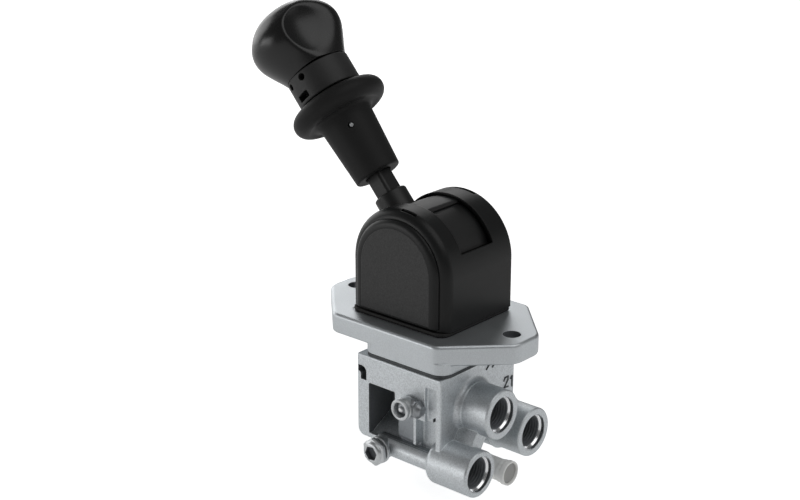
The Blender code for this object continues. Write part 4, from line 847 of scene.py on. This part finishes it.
# Front pockets, each with its left, right, low and high side, its floor and its corner
pocketBottom = -55.5
pockets = ((-8.7, 7.8, pocketBottom, -29.3, -17.0, 0.9),
           (7.0, 19.2, pocketBottom, -35.0, -32.4, 0.5),
           (20.6, 32.6, pocketBottom, -38.7, -29.2, 0.7),
           (26.0, 32.6, -45.0, -21.6, -32.9, 0.8),
           (7.0, 32.6, -56.2, -52.2, -30.8, 0.4))
smallHole = {"x": 30.9, "z": -37.8, "radius": 1.6}
ramp = {"left": -8.9, "right": 8.0, "outline": [(-34.3, -56.6), (-16.5, -56.6), (-16.5, -46.5)]}
notch = [(-15.3, -21.7, 0.0), (-10.2, -21.7, 2.8), (-10.2, -28.7, 0.3), (-13.7, -28.7, 0.3),
         (-13.7, -24.9, 1.2), (-15.3, -24.9, 0.0)]
nipple = {"x": 17.4, "z": -32.8, "tip": -43.0, "bodyY": -36.5, "radius": 5.1,
          "spigotX": 22.0, "spigot": 2.6, "spigotEnd": -25.5}


# One boss along X: foot fillet, barrel and rounded rim, as a turned profile.
def bossWork(spec):
    radius, start, flare = spec["radius"], spec["start"], spec["flare"]
    wall = body["right"]
    if flare > 0.0:
        foot = [(0.0, start), (radius + flare, start), (radius + flare, wall - 0.2)]
        foot += [(radius + 0.3 + flare - flare * math.sin(math.radians(turn)),
                  wall + flare - flare * math.cos(math.radians(turn)))
                 for turn in range(0, 91, 10)]
        foot.append((radius, wall + flare + 0.3))
    else:
        foot = rounded([(0.0, start, 0.0), (tube["radius"] - 0.3, start, 0.0),
                        (tube["radius"] + 0.6, start + 3.2, 2.0),
                        (radius, start + 4.0, 3.0), (radius, port["end"] - 8.0, 0.0)], False, 8)
    rim = rounded([(radius, port["end"] - 4.0, 0.0), (radius, port["end"], 0.9),
                   (0.0, port["end"], 0.0)], False, 5)
    place = Matrix.Translation((0.0, spec["y"], spec["z"])) @ alongX
    return revolve(foot + rim, 112, place=place)


# One port's hollow: counterbore, thread grooves, then the narrow way.
def boreWork(spec):
    end, mouth = port["end"], port["mouth"]
    crest = port["bore"] - 0.2
    root = crest + port["thread"]
    depth = end - port["mouthDepth"] - 0.9
    floor = end - port["depth"]
    shape = [(0.0, end + 1.0), (mouth + 0.3, end + 1.0), (mouth + 0.3, end), (mouth, end - 0.3),
             (mouth - 0.1, end - port["mouthDepth"]), (port["bore"] + 0.5, depth)]
    while depth > floor + port["pitch"]:
        shape += [(crest, depth - 0.2), (crest, depth - 0.5), (root, depth - 0.85),
                  (root, depth - 1.15)]
        depth -= port["pitch"]
    shape += [(crest, floor), (port["way"], floor - 0.8), (port["way"], spec["wayEnd"]),
              (0.0, spec["wayEnd"])]
    place = Matrix.Translation((0.0, spec["y"], spec["z"])) @ alongX
    return revolve(shape, 72, place=place)


# Boxes, as low and high corners, around the faces of hollows that get painted shade
paintedShadeBoxes = {"deep": ((-20.0, -33.5, -57.0), (7.9, -16.8, -28.9)),
          "hook": ((-20.0, -34.4, -28.8), (-10.0, -27.9, -21.6)),
          "ramp": ((-20.0, -34.0, -57.0), (8.0, -16.8, -45.0)),
          "floor": ((7.5, -33.6, pocketBottom + 0.5), (19.0, -31.0, -33.0)),
          "slot": ((7.9, -33.9, -57.0), (33.0, -30.0, -52.1)),
          "hole": ((28.0, -32.8, -40.0), (33.0, -26.5, -36.0))}


# The finish of one body face: 0 cast, 1 hollow with painted shade, 2 bright port mouth, 3 floor
# with lighter painted shade.
def bodyPaintedShade(face):
    x, y, z = face.center

    def within(name):
        low, high = paintedShadeBoxes[name]
        return all(low[i] < face.center[i] < high[i] for i in range(3))

    if within("floor") or within("slot"):
        return 3
    holeReach = math.hypot(x - smallHole["x"], z - smallHole["z"])
    if within("hole") and holeReach < smallHole["radius"] + 0.05:
        return 1
    onRamp = within("ramp") and face.normal.z > 0.7
    if not onRamp and (within("deep") or within("hook")):
        return 1
    deep = port["end"] - x
    reach = min(math.hypot(y - spec["y"], z - spec["z"]) for spec in ports.values())
    if port["mouthDepth"] + 0.7 < deep < port["end"] - 32.0 and reach < port["bore"] + 0.45:
        return 1
    inMouth = port["bore"] + 0.3 < reach < port["mouth"] + 0.05
    return 2 if inMouth and 0.2 < deep < port["mouthDepth"] + 0.95 else 0


def makeBody():
    front = body["front"]
    corners = [(body["left"], body["bottom"], body["corner"]),
               (body["right"], body["bottom"], 2.0), (body["right"], body["top"], 0.0),
               (body["left"], body["top"], 0.0)]
    item = rough(prism(rounded(corners, steps=12), front, body["back"], True))
    soften(item, body["edge"], 3, 60.0)
    cut(item, prism(rounded(notch, steps=8), front - 3.0, -28.0, True))
    for number, (left, right, low, high, floor, width) in enumerate(pockets):
        start = front - 3.0 - 0.4 * number
        cut(item, softBlock((left, start, low), (right, floor, high), width, 4))
    upper, lower = ports["upper"], ports["lower"]
    webTurn = math.atan2(lower["y"] - upper["y"], upper["z"] - lower["z"])
    webPlace = (Matrix.Translation((web["x"], (upper["y"] + lower["y"]) * 0.5,
                                    (upper["z"] + lower["z"]) * 0.5))
                @ Matrix.Rotation(webTurn, 4, "X"))
    long, half = web["long"], web["half"]
    sideways = Matrix(((0, 0, 1, 0), (1, 0, 0, 0), (0, 1, 0, 0), (0, 0, 0, 1)))
    join(item, prism(ramp["outline"], ramp["left"], ramp["right"], place=sideways),
         *[bossWork(spec) for spec in ports.values()],
         block((-long, -half, -long), (long, half, long), webPlace),
         rod("Y", plug["bossFront"], plug["bossBack"], (plug["x"], plug["z"]), plug["boss"], 72),
         revolve(rounded([(0.0, tube["left"], 0.0), (tube["radius"], tube["left"], 3.0),
                          (tube["radius"], 31.0, 0.0), (0.0, 31.0, 0.0)], False, 8), 72,
                 place=Matrix.Translation((0.0, tube["y"], tube["z"])) @ alongX))
    cut(item, rod("Z", body["mainBottom"], body["top"] + 2.0, (0.0, 0.0), body["mainBore"], 64),
        *[boreWork(spec) for spec in ports.values()],
        rod("X", plug["x"] - 1.0, tube["wayEnd"], (tube["wayY"], tube["wayZ"]), tube["way"], 24),
        rod("Y", plug["bossFront"] - 2.0, tube["y"] + 2.0, (plug["x"], plug["z"]),
            plug["hole"], 32),
        rod("Y", nipple["bodyY"], nipple["spigotEnd"] + 1.0, (nipple["spigotX"], nipple["z"]),
            nipple["spigot"] + 0.3, 32),
        rod("Y", front - 3.0, -27.0, (smallHole["x"], smallHole["z"]), smallHole["radius"], 24))
    cutPassages(item, passage["bottom"], body["top"] + 2.0)
    # Hollows and port bores get painted shade, and the pocket floors a lighter painted shade.
    for face in item.data.polygons:
        face.material_index = bodyPaintedShade(face)
    piece("valve_block", item, "cast_aluminium", "housing", ["valve_body"], sharp=30.0,
          more=[castPaintedShade, mouthBright, castSoftPaintedShade])


# Gauge nipple: an open tip towards the front and a faceted arm to the right
def makeNipple():
    face = -nipple["tip"]
    wide = nipple["radius"]
    tip = [(0.0, face - 4.5), (3.5, face - 4.5), (3.5, face - 0.5), (3.9, face),
           (wide - 0.3, face), (wide, face - 0.3), (wide, face - 1.5), (wide - 0.5, face - 1.8),
           (wide - 0.5, face - 2.4), (wide, face - 2.7), (wide, face - 6.0),
           (wide - 1.0, face - 8.5), (0.0, face - 8.5)]
    arm = [(0.0, 13.4), (3.2, 13.4), (4.7, 15.2), (4.8, 18.4), (4.5, 20.8), (4.0, 22.4),
           (0.0, 22.4)]
    neck = rounded([(0.0, 21.0, 0.0), (3.6, 21.0, 0.0), (3.6, 22.8, 0.3), (4.2, 22.8, 0.3),
                    (4.2, 24.2, 0.3), (3.6, 24.4, 0.3), (2.2, 26.2, 0.4), (0.0, 26.2, 0.0)],
                   False, 4)
    along = Matrix.Translation((0.0, nipple["bodyY"], nipple["z"])) @ alongX
    item = rough(revolve(arm, 10, place=along @ Matrix.Rotation(0.2, 4, "Z")))
    soften(item, 0.3, 2)
    join(item, revolve(neck, 48, place=along),
         rod("Y", nipple["bodyY"], nipple["spigotEnd"], (nipple["spigotX"], nipple["z"]),
             nipple["spigot"], 24))
    piece("nipple_arm", item, "zinc_steel", "housing", ["test_nipple"], sharp=25.0,
          paint=nippleGrey)
    forward = Matrix.Translation((nipple["x"], 0.0, nipple["z"])) @ alongFront
    piece("nipple_tip", revolve(tip, 64, place=forward), "zinc_steel", "housing")


# Closing plug: washer, six-sided collar, and a dome with a socket
def makePlug():
    place = Matrix.Translation((plug["x"], 0.0, plug["z"])) @ alongFront
    washer = [(3.5, 37.8, 0.0), (plug["washer"], 37.8, 0.2), (plug["washer"], 39.2, 0.5),
              (3.5, 39.2, 0.0)]
    piece("plug_ring", revolve(rounded(washer, steps=4), 72, closed=True, place=place),
          "zinc_steel", "housing", ["plug_washer"])
    six = arc((0.0, 0.0), plug["hex"], plug["turn"], plug["turn"] + 300.0, 5)
    item = soften(rough(prism(six, 39.9, 42.5)), 1.0, 3)
    dome = rounded([(0.0, 41.0, 0.0), (plug["dome"], 41.0, 0.0), (plug["dome"] - 0.2, 44.0, 1.9),
                    (0.0, 44.0, 0.0)], False, 8)
    join(item, revolve(dome, 72), rod("Z", 24.0, 40.0, (0.0, 0.0), 3.2, 32))
    cut(item, prism(arc((0.0, 0.0), 3.7, 8.0, 308.0, 5), 41.6, 46.0),
        revolve([(0.0, 40.6), (2.6, 41.7), (0.0, 41.7)], 32))
    # The socket's faces get painted shade.
    for face in item.data.polygons:
        x, y, z = face.center
        if math.hypot(x, y) < 3.6 and 40.5 < z < 43.9:
            face.material_index = 1
    item.data.transform(place)
    piece("plug_head", item, "zinc_steel", "housing", ["plug_screw"], sharp=25.0,
          more=[castPaintedShade])


# Exhaust stub with a thick end ring and a plain disc inside
stub = {"y": -6.0, "z": -66.9, "start": 14.0, "ring": 49.4, "lip": 51.9, "end": 54.4,
        "bore": 3.6, "wall": 5.3, "ringWall": 5.6, "lipWall": 6.0, "seat": 5.0, "seatStart": 50.6,
        "disc": 4.9, "discStart": 50.8, "discEnd": 53.3}


def makeStub():
    place = Matrix.Translation((0.0, stub["y"], stub["z"])) @ alongX
    shape = [(stub["bore"], stub["start"], 0.0), (stub["wall"], stub["start"], 0.3),
             (stub["wall"], stub["ring"] - 0.5, 0.2), (stub["ringWall"], stub["ring"], 0.2),
             (stub["ringWall"], stub["lip"] - 0.3, 0.2), (stub["lipWall"], stub["lip"], 0.2),
             (stub["lipWall"], stub["end"], 0.5), (stub["seat"], stub["end"], 0.4),
             (stub["seat"], stub["seatStart"], 0.0), (stub["bore"], stub["seatStart"], 0.0)]
    piece("exhaust_tube", revolve(rounded(shape, steps=4), 72, closed=True, place=place),
          "stub_plastic", "housing", ["exhaust_stub"])
    disc = [(0.0, stub["discStart"], 0.0), (stub["disc"], stub["discStart"], 0.0),
            (stub["disc"], stub["discEnd"], 0.2), (0.0, stub["discEnd"], 0.0)]
    piece("exhaust_disc", revolve(rounded(disc, False, 4), 64, place=place), "insert_plastic",
          "housing", ["exhaust_insert"])


# Plain port numbers on the right face, as low bars along strokes given in Y and Z
marks = {"half": 0.33, "sunk": 0.2, "raised": 0.3, "strokes": (
    ((2.7, -16.6), (-1.6, -20.7)), ((7.1, -16.6), (2.9, -20.9)),
    ((11.9, -31.2), (12.8, -29.9), (15.1, -29.8), (15.0, -31.6), (12.3, -34.8), (15.2, -35.1)),
    ((17.2, -31.6), (18.2, -30.6), (18.3, -35.8)))}


def makeMarks():
    work = bmesh.new()
    middle = body["right"] + (marks["raised"] - marks["sunk"]) * 0.5
    for stroke in marks["strokes"]:
        for first, second in zip(stroke, stroke[1:]):
            line = Vector(second) - Vector(first)
            spot = (Vector(first) + Vector(second)) * 0.5
            size = (marks["raised"] + marks["sunk"], line.length + 2.0 * marks["half"],
                    2.0 * marks["half"], 1.0)
            bar = (Matrix.Translation((middle, spot.x, spot.y))
                   @ Matrix.Rotation(math.atan2(line.y, line.x), 4, "X") @ Matrix.Diagonal(size))
            bmesh.ops.create_cube(work, size=1.0, matrix=bar)
    piece("port_numbers", work, "cast_aluminium", "housing", paint=markGrey)


makeBody()
makeBodyGasket()
makeNipple()
makePlug()
makeStub()
makeMarks()
say("body")


# Stage: each light has its place, its aim, its width and height, and its watts
studio = {"world": 0.12, "floorGlow": 0.3, "lights": {
    "front": ((-0.95, -1.25, 0.12), (-0.04, 0.0, -0.03), 1.1, 0.4, 3.6),
    "left": ((-1.60, 0.25, 0.45), (-0.10, 0.0, 0.06), 2.0, 1.0, 10.0),
    "back": ((-0.98, 1.12, 0.75), (-0.04, 0.0, 0.0), 0.9, 0.8, 2.8),
    "roof": ((0.72, 0.06, 1.40), (-0.08, 0.0, 0.05), 1.5, 1.5, 8.0),
    "right": ((1.35, 0.95, 0.25), (-0.04, 0.0, 0.0), 0.8, 0.7, 1.2)}}


def makeFloor():
    floorMesh = bpy.data.meshes.new("floor")
    work = bmesh.new()
    bmesh.ops.create_grid(work, x_segments=1, y_segments=1, size=3.0)
    work.to_mesh(floorMesh)
    work.free()
    floor = added("floor", floorMesh)
    floor.location = (0.0, 0.0, cadLow.z - 0.0005)
    paint = bpy.data.materials.new("floor_white")
    paint.use_nodes = True
    shader = paint.node_tree.nodes["Principled BSDF"]
    shader.inputs["Base Color"].default_value = (0.92, 0.92, 0.92, 1.0)
    shader.inputs["Roughness"].default_value = 0.9
    shader.inputs["Specular IOR Level"].default_value = 0.1
    shader.inputs["Emission Strength"].default_value = 0.75
    tree = paint.node_tree
    path = tree.nodes.new("ShaderNodeLightPath")
    glow = stretch(tree, path.outputs["Is Camera Ray"], studio["floorGlow"], 1.0)
    tree.links.new(glow, shader.inputs["Emission Color"])
    floorMesh.materials.append(paint)


def makeWorld():
    world = bpy.data.worlds.new("studio")
    bpy.context.scene.world = world
    world.use_nodes = True
    tree = world.node_tree
    back = tree.nodes["Background"]
    back.inputs["Color"].default_value = (1.0, 1.0, 1.0, 1.0)
    back.inputs["Strength"].default_value = studio["world"]
    seen = tree.nodes.new("ShaderNodeBackground")
    seen.inputs["Color"].default_value = (1.0, 1.0, 1.0, 1.0)
    seen.inputs["Strength"].default_value = 1.0
    path = tree.nodes.new("ShaderNodeLightPath")
    choose = tree.nodes.new("ShaderNodeMixShader")
    tree.links.new(path.outputs["Is Camera Ray"], choose.inputs[0])
    tree.links.new(back.outputs[0], choose.inputs[1])
    tree.links.new(seen.outputs[0], choose.inputs[2])
    tree.links.new(choose.outputs[0], tree.nodes["World Output"].inputs["Surface"])


def makeLight(name, spot, aim, wide, tall, power):
    data = bpy.data.lights.new(name, "AREA")
    data.shape = "RECTANGLE"
    data.size = wide
    data.size_y = tall
    data.energy = power
    aimed(name, data, spot, aim)


makeFloor()
makeWorld()
for name, light in studio["lights"].items():
    makeLight(name, *light)
bpy.context.scene.view_settings.view_transform = "Standard"
say("stage")
